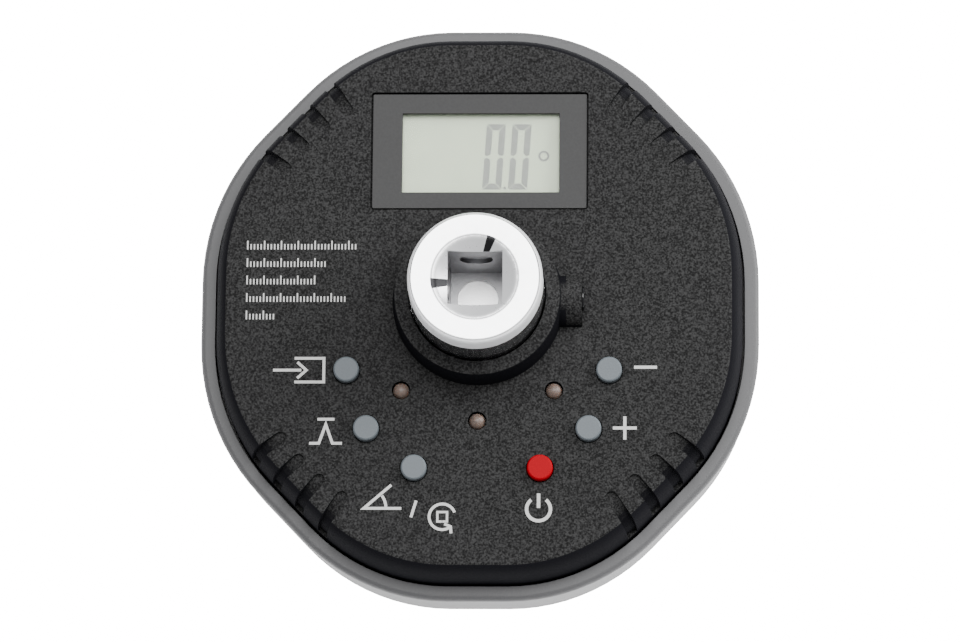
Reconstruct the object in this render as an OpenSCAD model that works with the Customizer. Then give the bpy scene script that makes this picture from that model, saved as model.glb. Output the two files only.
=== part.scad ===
// Digital torque angle adapter with a 3/8 inch square drive.
// The spindle axis is Z. The origin is at the middle of the male square's tip, the female square
// opens towards +Z, and the display lies towards +Y. Lengths are in millimetres.

/* [Body] */
// Width of the body across its side flats
body_w = 99.6; // [96:0.2:110]
// Height of the body across its top and bottom flats
body_l = 104.8; // [100:0.2:114]
// Thickness of the body from its back to its front face
body_t = 28; // [27:0.5:34]
// Radius of the eight corners of the outline
corner_r = 37; // [28:0.5:40]
// Thickness of the rear shell's wall
shell_wall = 2.2; // [1.6:0.1:2.6]
// Thickness of the rear shell's back plate
back_t = 2.8; // [2.6:0.1:3.4]
// Inset of the rear shell's side at the start of the back edge's rounding
shell_draft = 0.8; // [0:0.1:1.2]
// Inset of the back edge's rounding
back_round_w = 6; // [3:0.5:8]
// Height of the back edge's rounding
back_round_h = 10; // [5:0.5:12]
// Drop of the rear shell's lip below the front face
lip_drop = 7.5; // [6.8:0.1:9]
// Radius of the rounding on the lip's outer edge
lip_round = 1; // [0.4:0.1:1.4]
// Width of the lip's top
lip_w = 2.6; // [2:0.1:3]
// Shadow gap between lip and cover
lip_gap = 0.4; // [0.3:0.1:0.8]
// Thickness of the gasket under the cover's edge
gasket_t = 0.9; // [0.6:0.1:1.2]
// Gap between the cover's inside and the ledge's edge
ledge_gap = 0.4; // [0.2:0.1:0.8]
// Height of the ledge that carries the gasket
ledge_h = 2; // [1.5:0.1:2.5]

/* [Front cover] */
// Height of the cover from its lower edge to the face
cover_h = 11.5; // [10.5:0.1:13]
// Thickness of the face plate
plate_t = 2.2; // [2:0.1:2.6]
// Thickness of the cover's side wall
cover_wall = 2; // [1.6:0.1:2.4]
// Inset of the face's edge from the side wall
shoulder_w = 2.4; // [1.5:0.1:3.5]
// Height of the rounded shoulder
shoulder_h = 6; // [4:0.1:7]
// Number of grip flutes on each slanted flat
flute_count = 4; // [2:1:5]
// Angle between neighbouring grip flutes, in degrees
flute_turn = 6.9; // [6:0.1:7.5]
// Direction of the middle of each group of flutes from the x axis, in degrees
flute_middle = 45.8; // [44:0.2:48]
// Width of a grip flute
flute_w = 2.2; // [1.8:0.1:3]
// Reach of a flute in from the side wall
flute_reach = 6.6; // [5:0.1:7]
// Depth of a flute into the side wall
flute_depth = 0.8; // [0.3:0.1:1]
// Drop of a flute's floor below the face at its inner end
flute_drop = 0.5; // [0.1:0.05:0.6]
// Height over which a flute's floor curves in from the side wall
flute_h = 5; // [4:0.1:6]
// Height of a flute's foot above the rear shell's lip
flute_rise = 1; // [0.5:0.1:2]
// Height of the drive boss above the face
boss_h = 5.8; // [5.4:0.1:8]
// Reach of the boss's top beyond the spindle's head
boss_wall = 2.75; // [2.4:0.05:3.5]
// Growth of the boss's radius from its top down to the face
boss_flare = 0.7; // [0.2:0.1:1.5]
// Radius of the half-round lug on the boss
lug_r = 4.6; // [4.4:0.1:5.2]
// Reach of the lug's end beyond the boss's foot
lug_reach = 3.1; // [2.8:0.1:5]

/* [Drive spindle] */
// Width across the flats of the female square
female_w = 9.6; // [9.55:0.05:9.75]
// Depth of the female square
female_depth = 16.2; // [13:0.1:17]
// Radius of the lead-in chamfer at the mouth
mouth_r = 7.65; // [6.9:0.05:8.5]
// Depth of the lead-in chamfer
mouth_depth = 1.3; // [0.8:0.1:2]
// Radius of the detent recesses in the female square
recess_r = 2.9; // [1.9:0.1:3]
// Depth of the detent recesses into the square's walls
recess_t = 0.6; // [0.4:0.1:1]
// Distance of the detent recesses from the mouth
recess_down = 6.8; // [5.5:0.1:8]
// Radius of the pilot hole below the female square
pilot_r = 3.6; // [2.5:0.1:4.2]
// Depth of the pilot hole
pilot_depth = 1.2; // [0.5:0.1:2]
// Radius of the spindle's head
head_r = 11.85; // [11:0.05:12.2]
// Distance of the head's end from the boss top
head_out = 12.2; // [10:0.1:14]
// Width of the chamfer on the head's edge
head_chamfer_w = 0.7; // [0.4:0.05:1.2]
// Height of the chamfer on the head's edge
head_chamfer_h = 1.2; // [0.5:0.1:3]
// Reach of the flange inside the housing beyond the head
flange_reach = 1.75; // [1.2:0.05:2]
// Thickness of the flange
flange_t = 2; // [1.5:0.1:2.5]
// Step from the journal in to the collars that carry the gauge sleeve
collar_step = 1; // [0.7:0.1:1.4]
// Step from the collars in to the torsion section's rounded edges
torsion_step = 1.4; // [1:0.1:2]
// Width across the torsion section's flats as a share of its edges' radius
torsion_flat_share = 1.66; // [1.5:0.02:1.8]
// Height of each collar
collar_h = 2; // [1.5:0.1:2.5]
// Step from the head in to the rear journal
journal_step = 1.85; // [1.6:0.05:2]
// Height of the journal's end above the back plate's inside
journal_in = 5.2; // [4.5:0.1:6]
// Length of the journal outside the back
tail_len = 3.5; // [2.5:0.1:6]
// Gap between each collar and what it faces
collar_gap = 1; // [0.6:0.1:1.2]
// Chamfer on the journal's outer edge
tail_chamfer = 0.6; // [0.2:0.1:1]
// Step from the male square's corners out to the neck above it
neck_step = 0.1; // [0:0.05:0.4]
// Length of the neck
neck_len = 1.5; // [0.8:0.1:2.5]
// Width across the flats of the male square
male_w = 9.5; // [9.4:0.02:9.52]
// Length of the male square
male_len = 11; // [10.5:0.1:12]
// Radius that cuts the corners of the male square
male_corner_r = 6.1; // [5.9:0.05:6.3]
// Height of the lead-in at the male square's tip
male_lead_h = 1.2; // [0.6:0.1:1.6]
// Radius of the lead-in at the tip
male_lead_r = 5; // [4.8:0.05:5.4]
// Radius of the detent ball
ball_r = 1.75; // [1.5:0.05:2]
// Radial clearance round the ball
ball_gap = 0.05; // [0.02:0.01:0.08]
// How far the ball stands out of the square
ball_out = 0.7; // [0.4:0.05:0.8]
// Wire radius of the ball's spring
spring_wire = 0.18; // [0.15:0.01:0.22]
// Depth of the ball's hole
ball_hole_depth = 6.2; // [6:0.1:7]

/* [Seals and bearings] */
// Radial clearance between boss and spindle
boss_gap = 0.35; // [0.2:0.05:0.4]
// Cord radius of the front seal
seal_r = 0.75; // [0.6:0.05:0.8]
// Drop of the front seal below the boss top
seal_drop = 1.2; // [1:0.1:1.3]
// Running clearance of the journal in its bush
journal_gap = 0.05; // [0.02:0.01:0.1]
// Wall thickness of the rear bush
bush_t = 1.6; // [1.2:0.1:1.8]
// Reach of the rear bush's flange beyond the journal
bush_flange_reach = 3; // [2.6:0.1:3.4]
// Thickness of the bush's flange
bush_flange_t = 1; // [0.8:0.1:1.4]
// Wall thickness of the hub that holds the bush
hub_wall = 2; // [1.6:0.1:2.4]
// Reach of the washer's recess beyond the journal
recess_reach = 3.4; // [3:0.1:3.8]
// Thickness of the rear washer
washer_t = 0.8; // [0.5:0.1:1]
// Thickness of the retaining ring
ring_t = 1; // [0.8:0.1:1.2]
// Depth of the retaining ring's groove
ring_groove = 0.8; // [0.6:0.05:1]
// Width of the retaining ring's opening
ring_opening = 8; // [4:0.5:12]
// Radial width of the retaining ring outside the journal
ring_w = 1.8; // [1.4:0.1:2.2]

/* [Display] */
// Width of the display bezel
bezel_w = 38.2; // [36:0.1:42]
// Height of the display bezel
bezel_l = 21.1; // [20:0.1:22]
// Distance of the bezel's middle from the spindle axis
bezel_y = 27.8; // [27:0.1:29]
// Corner radius of the bezel
bezel_corner = 0.3; // [0.1:0.1:1]
// Thickness of the bezel
bezel_t = 0.9; // [0.7:0.1:1.2]
// Depth of the bezel's front below the face
bezel_sink = 0.25; // [0.05:0.05:0.4]
// Gap round the bezel
bezel_gap = 0.3; // [0.1:0.05:0.4]
// Width of the bezel's opening
view_w = 28; // [26:0.1:29]
// Height of the bezel's opening
view_l = 14.6; // [13:0.1:15]
// Shift of the opening down from the bezel's middle
view_shift = 0.3; // [0:0.1:0.6]
// Shift of the opening to the right of the bezel's middle
view_aside = 0.2; // [0:0.1:0.6]
// Overlap of window and bezel behind the opening
window_overlap = 1.6; // [1:0.1:1.8]
// Thickness of the window
window_t = 0.6; // [0.5:0.1:0.8]
// Thickness of the liquid-crystal panel
lcd_t = 2; // [1.6:0.1:2.4]
// Air gap between window and panel
lcd_gap = 0.1; // [0.05:0.05:0.2]
// Wall thickness of the panel's holder
holder_wall = 1.8; // [1.4:0.1:2]
// Width of the seat under the panel's edge
holder_seat = 1; // [0.6:0.1:1.4]
// Thickness of a contact strip
strip_t = 1.6; // [1.2:0.1:2]
// Fitting clearance of loose inner pieces
fit_gap = 0.1; // [0.05:0.05:0.2]

/* [Buttons] */
// Diameter of a button
button_d = 4.56; // [4:0.02:4.8]
// Height of a button above the face
button_out = 1.3; // [0.9:0.1:1.8]
// Radial gap round a button
button_gap = 0.22; // [0.15:0.01:0.3]
// Chamfer on a button's top edge
button_edge = 0.25; // [0.1:0.05:0.4]
// Radius of a button's inner flange
button_flange_r = 3.1; // [2.9:0.1:3.4]
// Thickness of a button's inner flange
button_flange_t = 0.8; // [0.6:0.1:1]
// Play of the flange under the face plate
button_play = 0.1; // [0.05:0.05:0.15]
// Radius of a button's stem
stem_r = 1.4; // [1.2:0.1:1.6]
// Travel of a button
button_travel = 0.5; // [0.3:0.1:0.6]
// Place of the upper pair, memory and minus
upper_pair = [23.2, -12.5]; // [-40:0.1:40]
// Place of the middle pair, peak and plus
middle_pair = [19.6, -23.1]; // [-40:0.1:40]
// Place of the lower pair, angle and power
lower_pair = [11.1, -30.2]; // [-40:0.1:40]

/* [Switches] */
// Width of a tact switch
switch_w = 6; // [5.8:0.1:6.2]
// Height of a tact switch above the board
switch_h = 3.1; // [2.8:0.1:3.4]
// Radius of a switch's plunger
plunger_r = 1.7; // [1.5:0.05:1.9]
// Radial gap round a plunger
plunger_gap = 0.08; // [0.05:0.01:0.1]
// Height of a plunger above its switch
plunger_out = 1; // [0.8:0.05:1.2]
// Depth of a plunger inside its switch
plunger_in = 0.5; // [0.3:0.05:0.6]

/* [Indicators] */
// Diameter of an indicator lamp
lamp_d = 3; // [2.8:0.1:3.2]
// Length of a lamp's body
lamp_len = 5.3; // [4.8:0.1:5.6]
// Height of a lamp above the face
lamp_out = 0.4; // [0.1:0.1:0.8]
// Radial gap round a lamp
lamp_gap = 0.15; // [0.1:0.05:0.25]
// Radius of a lamp's foot
lamp_foot_r = 1.9; // [1.8:0.05:2]
// Thickness of a lamp's foot
lamp_foot_t = 1; // [0.8:0.1:1.2]
// Place of the outer lamps
outer_lamp = [13.5, -16.1]; // [-40:0.1:40]
// Distance of the middle lamp below the spindle axis
middle_lamp_y = 21.6; // [20.5:0.1:24]
// Spacing of a lamp's two leads
lead_pitch = 2.54; // [2.4:0.01:2.6]
// Radius of a lead
lead_r = 0.25; // [0.2:0.01:0.3]
// Length of a lead below the board
lead_tail = 1.2; // [0.6:0.1:1.6]

/* [Board] */
// Drop of the board's top below the face plate
board_drop = 5.7; // [5.5:0.1:6]
// Thickness of the board
board_t = 1.6; // [1.2:0.1:1.6]
// Gap between the board's edge and the cover's wall
board_gap = 1.6; // [0.6:0.1:2.4]
// Gap between the board and the spindle's flange
board_hole_gap = 1; // [0.6:0.1:1.4]
// Side of the microcontroller
chip_w = 10; // [8:0.5:11]
// Thickness of a chip's body
chip_t = 1.4; // [1:0.1:1.8]
// Reach of a chip's legs
leg_reach = 1; // [0.6:0.1:1.2]
// Width of a chip's leg
leg_w = 0.4; // [0.3:0.05:0.5]
// Spacing of a chip's legs
leg_pitch = 1.1; // [0.9:0.05:1.2]
// Distance of the microcontroller, crystal and buzzer from the side flats
component_edge = 18.8; // [18:0.1:22]
// Height of the microcontroller above the spindle axis
chip_up = 12; // [10:0.1:14]
// Size of the motion sensor
sensor_size = [5, 4.5, 1.2]; // [1:0.1:8]
// Place of the motion sensor
sensor_at = [21, 3]; // [-40:0.1:40]
// Size of the bridge amplifier
amplifier_size = [6.4, 4.4, 1.2]; // [1:0.1:8]
// Distance of the bridge amplifier from the side flat
amplifier_edge = 27.8; // [26:0.1:30]
// Height of the bridge amplifier above the spindle axis
amplifier_up = 22; // [18:0.1:26]
// Size of the crystal
crystal_size = [4.8, 3.2, 1.1]; // [1:0.1:8]
// Height of the crystal above the spindle axis
crystal_up = 1.5; // [0:0.1:3]
// Radius of the buzzer
buzzer_r = 4.5; // [4:0.1:5]
// Height of the buzzer
buzzer_h = 4; // [3:0.1:4.5]
// Radius of the buzzer's sound hole
buzzer_hole_r = 1; // [0.6:0.1:1.4]
// Depth of the buzzer's sound hole
buzzer_hole_depth = 1.5; // [0.5:0.1:2]
// Height of the buzzer above the spindle axis
buzzer_up = 10; // [9:0.1:14]

/* [Torsion gauges] */
// Width of a strain gauge
gauge_w = 5; // [4:0.1:6]
// Length of a strain gauge
gauge_l = 7; // [5:0.1:8]
// Thickness of a strain gauge
gauge_t = 0.2; // [0.1:0.05:0.3]
// Wall thickness of the gauge sleeve
sleeve_t = 0.6; // [0.5:0.1:0.8]
// Width of the flexible lead
flex_w = 4; // [3:0.1:4.5]
// Thickness of the flexible lead
flex_t = 0.25; // [0.2:0.05:0.3]
// Drop of the flexible lead below the board
flex_drop = 1.2; // [1:0.1:1.4]
// Distance of the lead's connector from the spindle axis
connector_y = 17; // [16:0.1:18]
// Depth of the connector
connector_l = 3.5; // [3:0.1:4.5]

/* [Power] */
// Radius of a cell
cell_r = 5.25; // [5.1:0.05:5.25]
// Length of a cell without its button
cell_len = 43.7; // [43.3:0.1:43.7]
// Radius of a cell's positive button
cell_button_r = 1.9; // [1.6:0.1:1.9]
// Height of a cell's positive button
cell_button_h = 0.8; // [0.6:0.1:1]
// Gap between a cell and its neighbours
cell_gap = 0.4; // [0.25:0.05:0.5]
// Gap between the rear bearing's hub and the cell compartment's wall
hub_space = 0.25; // [0.1:0.05:1]
// Thickness of the cell compartment's walls
tray_wall = 1.1; // [0.9:0.1:1.3]
// Length of a contact spring
spring_len = 5.2; // [4:0.1:5.4]
// A contact spring's wide and narrow radii as shares of the cell's radius
spring_wide_share = 0.7; // [0.5:0.05:0.8]
spring_narrow_share = 0.4; // [0.3:0.05:0.45]
// Wire radius of a contact spring
contact_wire = 0.3; // [0.25:0.01:0.35]
// Thickness of a contact plate
contact_t = 0.4; // [0.3:0.05:0.5]
// Width of a contact plate
contact_w = 8; // [7:0.1:9]
// Width of a contact's tab up to the board
tab_w = 3; // [2:0.1:4]
// Overlap of the outer contact's plate and its tab
tab_lap = 0.5; // [0.3:0.1:1.5]
// Thickness of the battery door
door_t = 1.8; // [1.5:0.1:2]
// Sliding clearance round the battery door
door_gap = 0.15; // [0.1:0.05:0.2]
// Overlap of the door beyond the compartment's sides
door_overlap = 0.6; // [0.4:0.1:0.8]
// Reach of the door's side rails
rail_w = 0.7; // [0.5:0.1:0.8]
// Thickness of the door's side rails
rail_t = 0.8; // [0.6:0.1:0.9]
// Number of grip ribs on the door
grip_count = 5; // [3:1:7]
// Spacing of the grip grooves
grip_pitch = 1.6; // [1.2:0.1:2]
// Width of a grip groove
grip_w = 0.8; // [0.5:0.1:1]
// Depth of a grip groove
grip_depth = 0.4; // [0.2:0.1:0.6]
// Length of the grip grooves
grip_len = 16; // [10:0.5:20]

/* [Fasteners] */
// Distance of the four housing screws from the side flats
screw_side_edge = 15.8; // [14:0.1:18]
// Distance of the four housing screws from the end flats
screw_end_edge = 30.2; // [29:0.1:32]
// Shank radius of a housing screw
screw_r = 1.45; // [1.3:0.05:1.5]
// Head radius of a housing screw
screw_head_r = 2.75; // [2.5:0.05:3]
// Head height of a housing screw
screw_head_h = 2.4; // [2:0.1:2.6]
// Depth of the screw heads in the back
screw_sink = 1.6; // [1:0.1:2]
// Reach of the housing screws into the cover's bosses
screw_reach = 6; // [4:0.1:7]
// Radius of the housing screws' posts
post_r = 3.2; // [3:0.1:3.6]
// Radial clearance of a screw's shank
screw_gap = 0.2; // [0.1:0.05:0.3]
// Radial clearance of a screw's thread in its boss
thread_gap = 0.05; // [0.02:0.01:0.08]
// Radius of a cross recess
cross_r = 1.5; // [1.2:0.1:1.8]
// Width of a cross recess's arms
cross_w = 0.8; // [0.6:0.1:1]
// Depth of a cross recess
cross_depth = 1.2; // [0.8:0.1:1.4]
// Distance of the side board screws from the side flats
board_side_edge = 11.3; // [10.8:0.1:12]
// Height of the side board screws above the spindle axis
board_screw_up = 2; // [0:0.1:4]
// Distance of the lower board screw from the lower flat
board_low_edge = 13.7; // [12:0.1:14]
// Distance of the upper board screw from the upper flat
board_high_edge = 10.2; // [9.8:0.1:10.6]
// Shank radius of a board screw
board_screw_r = 1; // [0.8:0.05:1.1]
// Head radius of a board screw
board_head_r = 1.9; // [1.7:0.1:2]
// Head height of a board screw
board_head_h = 1.3; // [1:0.1:1.5]
// Radius of the bosses for the board screws
board_post_r = 2.1; // [1.9:0.1:2.4]
// Radius of the clamp screw
clamp_r = 1.5; // [1.3:0.05:1.6]
// Height of the clamp screw above the face
clamp_up = 2.2; // [2:0.1:2.4]
// Depth of the clamp screw's point in the spindle
clamp_point = 0.6; // [0.3:0.1:0.8]
// Length of the clamp screw
clamp_len = 5; // [4:0.1:5.4]
// Width across the clamp screw's hexagon socket
clamp_hex = 1.5; // [1.3:0.1:1.6]
// Depth of the clamp screw's hexagon socket
clamp_hex_depth = 1.6; // [1:0.1:2]
// Thickness of the lug's cap outside the lug
cap_t = 0.4; // [0.3:0.1:0.6]
// Length of the cap's plug
cap_plug = 1.2; // [0.8:0.1:1.4]

/* [Hidden] */

// Facets of round pieces, and steps along each corner of the outline and each rounded edge
$fn = 96;
corner_steps = 11;
edge_steps = 8;
// Overrun of every cut past the surface that it opens
over = 0.5;

// Levels along the spindle, from the male square's tip
shoulder_z = male_len + neck_len;
back_z = shoulder_z + tail_len;
face_z = back_z + body_t;
boss_z = face_z + boss_h;
top_z = boss_z + head_out;
plate_z = face_z - plate_t;
cover_z = face_z - cover_h;
floor_z = back_z + back_t;
lip_z = face_z - lip_drop;
ledge_z = cover_z - gasket_t;
board_top = plate_z - board_drop;
board_z = board_top - board_t;

// Half sizes of the outlines
half_x = body_w / 2;
half_y = body_l / 2;
cover_inset = lip_w + lip_gap;
inside_inset = cover_inset + cover_wall;
board_inset = inside_inset + board_gap;
slant_out = (half_x + half_y) / 2 - cover_inset;
flute_z = lip_z + flute_rise;

// Boss, front seal, flange and clamp screw
boss_top_r = head_r + boss_wall;
boss_foot_r = boss_top_r + boss_flare;
lug_end = boss_foot_r + lug_reach;
flange_r = head_r + flange_reach;
neck_r = male_corner_r + neck_step;
journal_r = head_r - journal_step;
collar_r = journal_r - collar_step;
torsion_r = collar_r - torsion_step;
torsion_w = torsion_r * torsion_flat_share;
hub_bore = journal_r + journal_gap + bush_t;
bush_flange_r = journal_r + bush_flange_reach;
rear_recess_r = journal_r + recess_reach;
boss_bore = head_r + boss_gap;
seal_z = boss_z - seal_drop;
lug_bore_r = clamp_r + thread_gap;
clamp_z = face_z + clamp_up;
clamp_start = head_r - clamp_point + journal_gap;

// Battery compartment and door
cell_start = hub_bore + hub_wall + hub_space + tray_wall;
door_top = back_z + door_t;
rail_z = door_top - rail_t;
cell_pitch = 2 * cell_r + cell_gap;
cell_z = door_top + door_gap + cell_r + cell_gap / 4;
cell_span = cell_len + cell_button_h + spring_len + 2 * contact_t;
cell_left = -cell_span / 2 + contact_t + spring_len;
first_row = cell_start + cell_r + cell_gap / 2;
cell_rows = [first_row, first_row + cell_pitch];
tab_rows = [first_row, cell_rows[1] - contact_w / 2 - tab_w / 2 + tab_lap];
tray_end = cell_start + 2 * cell_pitch;
tray_top = cell_z + cell_r + cell_gap;
door_half = cell_span / 2 + door_overlap;
door_start = cell_start - door_overlap;

// Posts, rear bearing and spindle
post_top = board_z - screw_gap;
screw_seat = back_z + screw_sink + screw_head_h;
screw_top = board_z + screw_reach;
recess_depth = washer_t + ring_t;
ring_z = back_z;
journal_top = floor_z + journal_in;
hub_top = journal_top - bush_flange_t - collar_gap;
flange_z = plate_z - button_play - flange_t;
sleeve_top = flange_z - collar_gap;
gauge_z = (journal_top + sleeve_top - gauge_l) / 2;
flex_z = board_z - flex_drop;
ball_y = -(male_w / 2 + ball_out - ball_r);
ball_z = male_len / 2;

// Display stack
window_w = view_w + 2 * window_overlap;
window_l = view_l + 2 * window_overlap;
lcd_w = window_w - 2 * fit_gap;
lcd_l = window_l - 2 * fit_gap;
bezel_z = face_z - bezel_sink - bezel_t;
window_z = bezel_z - window_t;
lcd_top = window_z - lcd_gap;
lcd_z = lcd_top - lcd_t;
strip_y = lcd_l / 2 - holder_seat - strip_t / 2 - fit_gap;

// Switches and lamps
switch_top = board_top + switch_h;
plunger_top = switch_top + plunger_out;
plunger_z = switch_top - plunger_in;
flange_top = plate_z - button_play;
flange_low = flange_top - button_flange_t;
lamp_z = face_z + lamp_out - lamp_len;

// Points of the rounded octagon, set in by inset from the widest outline
function outline(inset) = [
  for (corner = [0:7])
    for (step = [0:corner_steps])
      outline_point(corner * 45 + 22.5, step / corner_steps * 45 - 22.5, inset)
];

function outline_point(middle, turn, inset) =
  let (
    radius = corner_r - inset,
    reach = (half_x - corner_r) / cos(22.5),
    stretch = (half_y - inset) / (half_x - inset)
  )
  [
    reach * cos(middle) + radius * cos(middle + turn),
    stretch * (reach * sin(middle) + radius * sin(middle + turn))
  ];

// Straight prism on the outline
module prism(inset, low, high) {
  translate([0, 0, low])
    linear_extrude(high - low)
      polygon(outline(inset));
}

// Smooth shell through levels, each a height and an inset from the widest outline
module loft(levels) {
  count = 8 * (corner_steps + 1);
  last = len(levels) - 1;
  points = [
    for (level = levels)
      for (p = outline(level[1]))
        [p[0], p[1], level[0]]
  ];
  sides = [
    for (ring = [0:last - 1])
      for (i = [0:count - 1])
        let (a = ring * count + i, b = ring * count + (i + 1) % count)
          each [[a, a + count, b + count], [a, b + count, b]]
  ];
  ends = [
    [for (i = [0:count - 1]) i],
    [for (i = [count - 1:-1:0]) last * count + i]
  ];
  polyhedron(points = points, faces = concat(sides, ends));
}

// Levels of a quarter-round edge that ends at height end with the inset grown by width
function round_levels(start, end, inset, width, steps) = [
  for (step = [0:steps])
    let (turn = step / steps * 90)
      [start + (end - start) * sin(turn), inset + width * (1 - cos(turn))]
];

function reversed(list) = [for (i = [len(list) - 1:-1:0]) list[i]];

// Rectangle centred on x and y, with its lower and upper heights
module block(width, length, low, high) {
  translate([-width / 2, -length / 2, low])
    cube([width, length, high - low]);
}

module rod(radius, low, high) {
  translate([0, 0, low])
    cylinder(r = radius, h = high - low);
}

module tube(outer, inner, low, high) {
  difference() {
    rod(outer, low, high);
    rod(inner, low - over, high + over);
  }
}

// Outline of a rectangle with round corners
function rounded_rectangle(width, length, radius) = [
  for (corner = [0:3])
    for (step = [0:4])
      let (
        side_x = (corner == 0 || corner == 3) ? 1 : -1,
        side_y = corner < 2 ? 1 : -1,
        turn = corner * 90 + step / 4 * 90
      )
      [
        side_x * (width / 2 - radius) + radius * cos(turn),
        side_y * (length / 2 - radius) + radius * sin(turn)
      ]
];

module rounded_block(width, length, radius, low, high) {
  translate([0, 0, low])
    linear_extrude(high - low)
      polygon(rounded_rectangle(width, length, radius));
}

// One unbroken coil along +Z, from radius first to radius second
module coil(first, second, length, wire, turns) {
  per_turn = 16;
  around = 6;
  rings = turns * per_turn;
  climb = length - 2 * wire;
  points = [
    for (ring = [0:rings])
      let (
        share = ring / rings,
        turn = ring / per_turn * 360,
        reach = first + (second - first) * share
      )
      for (i = [0:around - 1])
        let (out = reach + wire * cos(i / around * 360))
          [out * cos(turn), out * sin(turn), wire + climb * share + wire * sin(i / around * 360)]
  ];
  sides = [
    for (ring = [0:rings - 1])
      for (i = [0:around - 1])
        let (a = ring * around + i, b = ring * around + (i + 1) % around)
          each [[a, b, b + around], [a, b + around, a + around]]
  ];
  ends = [
    [for (i = [around - 1:-1:0]) i],
    [for (i = [0:around - 1]) rings * around + i]
  ];
  polyhedron(points = points, faces = concat(sides, ends));
}

// Places that repeat
screw_x = half_x - screw_side_edge;
screw_y = half_y - screw_end_edge;
screw_places = [
  [screw_x, screw_y],
  [-screw_x, screw_y],
  [-screw_x, -screw_y],
  [screw_x, -screw_y]
];
board_screw_places = [
  [half_x - board_side_edge, board_screw_up],
  [board_side_edge - half_x, board_screw_up],
  [0, board_low_edge - half_y],
  [0, half_y - board_high_edge]
];
chip_at = [component_edge - half_x, chip_up];
crystal_at = [component_edge - half_x, crystal_up];
buzzer_at = [half_x - component_edge, buzzer_up];
amplifier_at = [amplifier_edge - half_x, amplifier_up];
function left_of(pair) = [-pair[0], pair[1]];
memory_at = left_of(upper_pair);
peak_at = left_of(middle_pair);
angle_at = left_of(lower_pair);
button_places = [memory_at, peak_at, angle_at, lower_pair, middle_pair, upper_pair];
lamp_places = [left_of(outer_lamp), [0, -middle_lamp_y], outer_lamp];

module at_each(places) {
  for (place = places)
    translate([place[0], place[1], 0])
      children();
}

module at_place(place) {
  translate([place[0], place[1], 0])
    children();
}

// Front cover

// A flute's slot, which runs out along x from its round inner end at the origin
module flute_slot() {
  round_end = [
    for (step = [0:edge_steps])
      let (turn = 90 + step / edge_steps * 180)
        flute_w / 2 * [cos(turn), sin(turn)]
  ];
  linear_extrude(face_z + over - flute_z)
    polygon(concat(
      round_end,
      [[flute_reach + over, -flute_w / 2], [flute_reach + over, flute_w / 2]]
    ));
}

// The flutes' slots, as deep as a floor that curves in from the side wall
module flutes() {
  difference() {
    for (left = [0, 1], low = [0, 1])
      mirror([left, 0, 0])
        mirror([0, low, 0])
          for (i = [0:flute_count - 1])
            rotate(flute_middle + (i - (flute_count - 1) / 2) * flute_turn)
              translate([slant_out - flute_reach + flute_w / 2, 0, flute_z])
                flute_slot();
    loft(concat(
      [[flute_z - over, cover_inset + flute_depth]],
      round_levels(
        face_z - flute_h, face_z - flute_drop, cover_inset + flute_depth,
        flute_reach - flute_depth, edge_steps
      )
    ));
  }
}

// The inside draws in above the shoulder's start, so that the shoulder keeps its thickness
module cover_inside() {
  loft([
    [cover_z - over, inside_inset],
    [face_z - shoulder_h, inside_inset],
    [plate_z, inside_inset + shoulder_w / 2]
  ]);
}

module cover_outside() {
  loft(concat(
    [[cover_z, cover_inset]],
    round_levels(face_z - shoulder_h, face_z, cover_inset, shoulder_w, edge_steps)
  ));
  translate([0, 0, face_z - plate_t / 2])
    cylinder(r1 = boss_foot_r, r2 = boss_top_r, h = boss_h + plate_t / 2);
  intersection() {
    translate([0, 0, face_z])
      rotate([0, 90, 0])
        cylinder(r = lug_r, h = lug_end);
    translate([0, -lug_r, face_z - plate_t / 2])
      cube([lug_end, 2 * lug_r, lug_r + plate_t]);
  }
}

module cover_posts() {
  at_each(screw_places)
    rod(post_r, board_z - screw_gap, plate_z + plate_t / 2);
  at_each(board_screw_places)
    rod(board_post_r, board_top, plate_z + plate_t / 2);
}

module front_cover() {
  color([0.16, 0.16, 0.17])
    difference() {
      union() {
        difference() {
          cover_outside();
          cover_inside();
        }
        cover_posts();
      }
      flutes();
      rod(boss_bore, cover_z, boss_z + over);
      rotate_extrude()
        translate([head_r, seal_z - seal_r])
          square([2 * seal_r + journal_gap, 2 * seal_r]);
      translate([0, 0, clamp_z])
        rotate([0, 90, 0])
          cylinder(r = lug_bore_r, h = lug_end + over);
      translate([0, bezel_y, 0]) {
        rounded_block(
          bezel_w + 2 * bezel_gap, bezel_l + 2 * bezel_gap, bezel_corner + bezel_gap,
          face_z - bezel_sink - bezel_t, face_z + over
        );
        translate([view_aside, -view_shift, 0])
          block(window_w + 2 * bezel_gap, window_l + 2 * bezel_gap, cover_z, face_z + over);
      }
      at_each(button_places)
        rod(button_d / 2 + button_gap, cover_z, face_z + over);
      at_each(lamp_places)
        rod(lamp_d / 2 + lamp_gap, cover_z, face_z + over);
      at_each(screw_places)
        rod(screw_r + thread_gap, board_z - over, screw_top + over);
      at_each(board_screw_places)
        rod(board_screw_r + thread_gap, board_z - over, plate_z);
    }
}

// Rear shell

module shell_outside() {
  loft(concat(
    reversed(round_levels(
      back_z + back_round_h, back_z, shell_draft, back_round_w, edge_steps
    )),
    round_levels(lip_z - lip_round, lip_z, 0, lip_round, edge_steps)
  ));
}

// The inside follows the outside at the wall's thickness, and is plain above the ledge
function inner_inset(z) =
  let (share = max(0, back_z + back_round_h - z) / back_round_h)
    shell_wall + shell_draft + back_round_w * (1 - sqrt(1 - share * share));

module shell_inside() {
  rise = (back_z + back_round_h - floor_z) / edge_steps;
  loft(concat(
    [for (step = [0:edge_steps]) [floor_z + step * rise, inner_inset(floor_z + step * rise)]],
    [[ledge_z - ledge_h, shell_wall + shell_draft]]
  ));
  prism(inside_inset + ledge_gap, floor_z + back_t, lip_z + over);
  prism(lip_w, ledge_z, lip_z + over);
}

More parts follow.
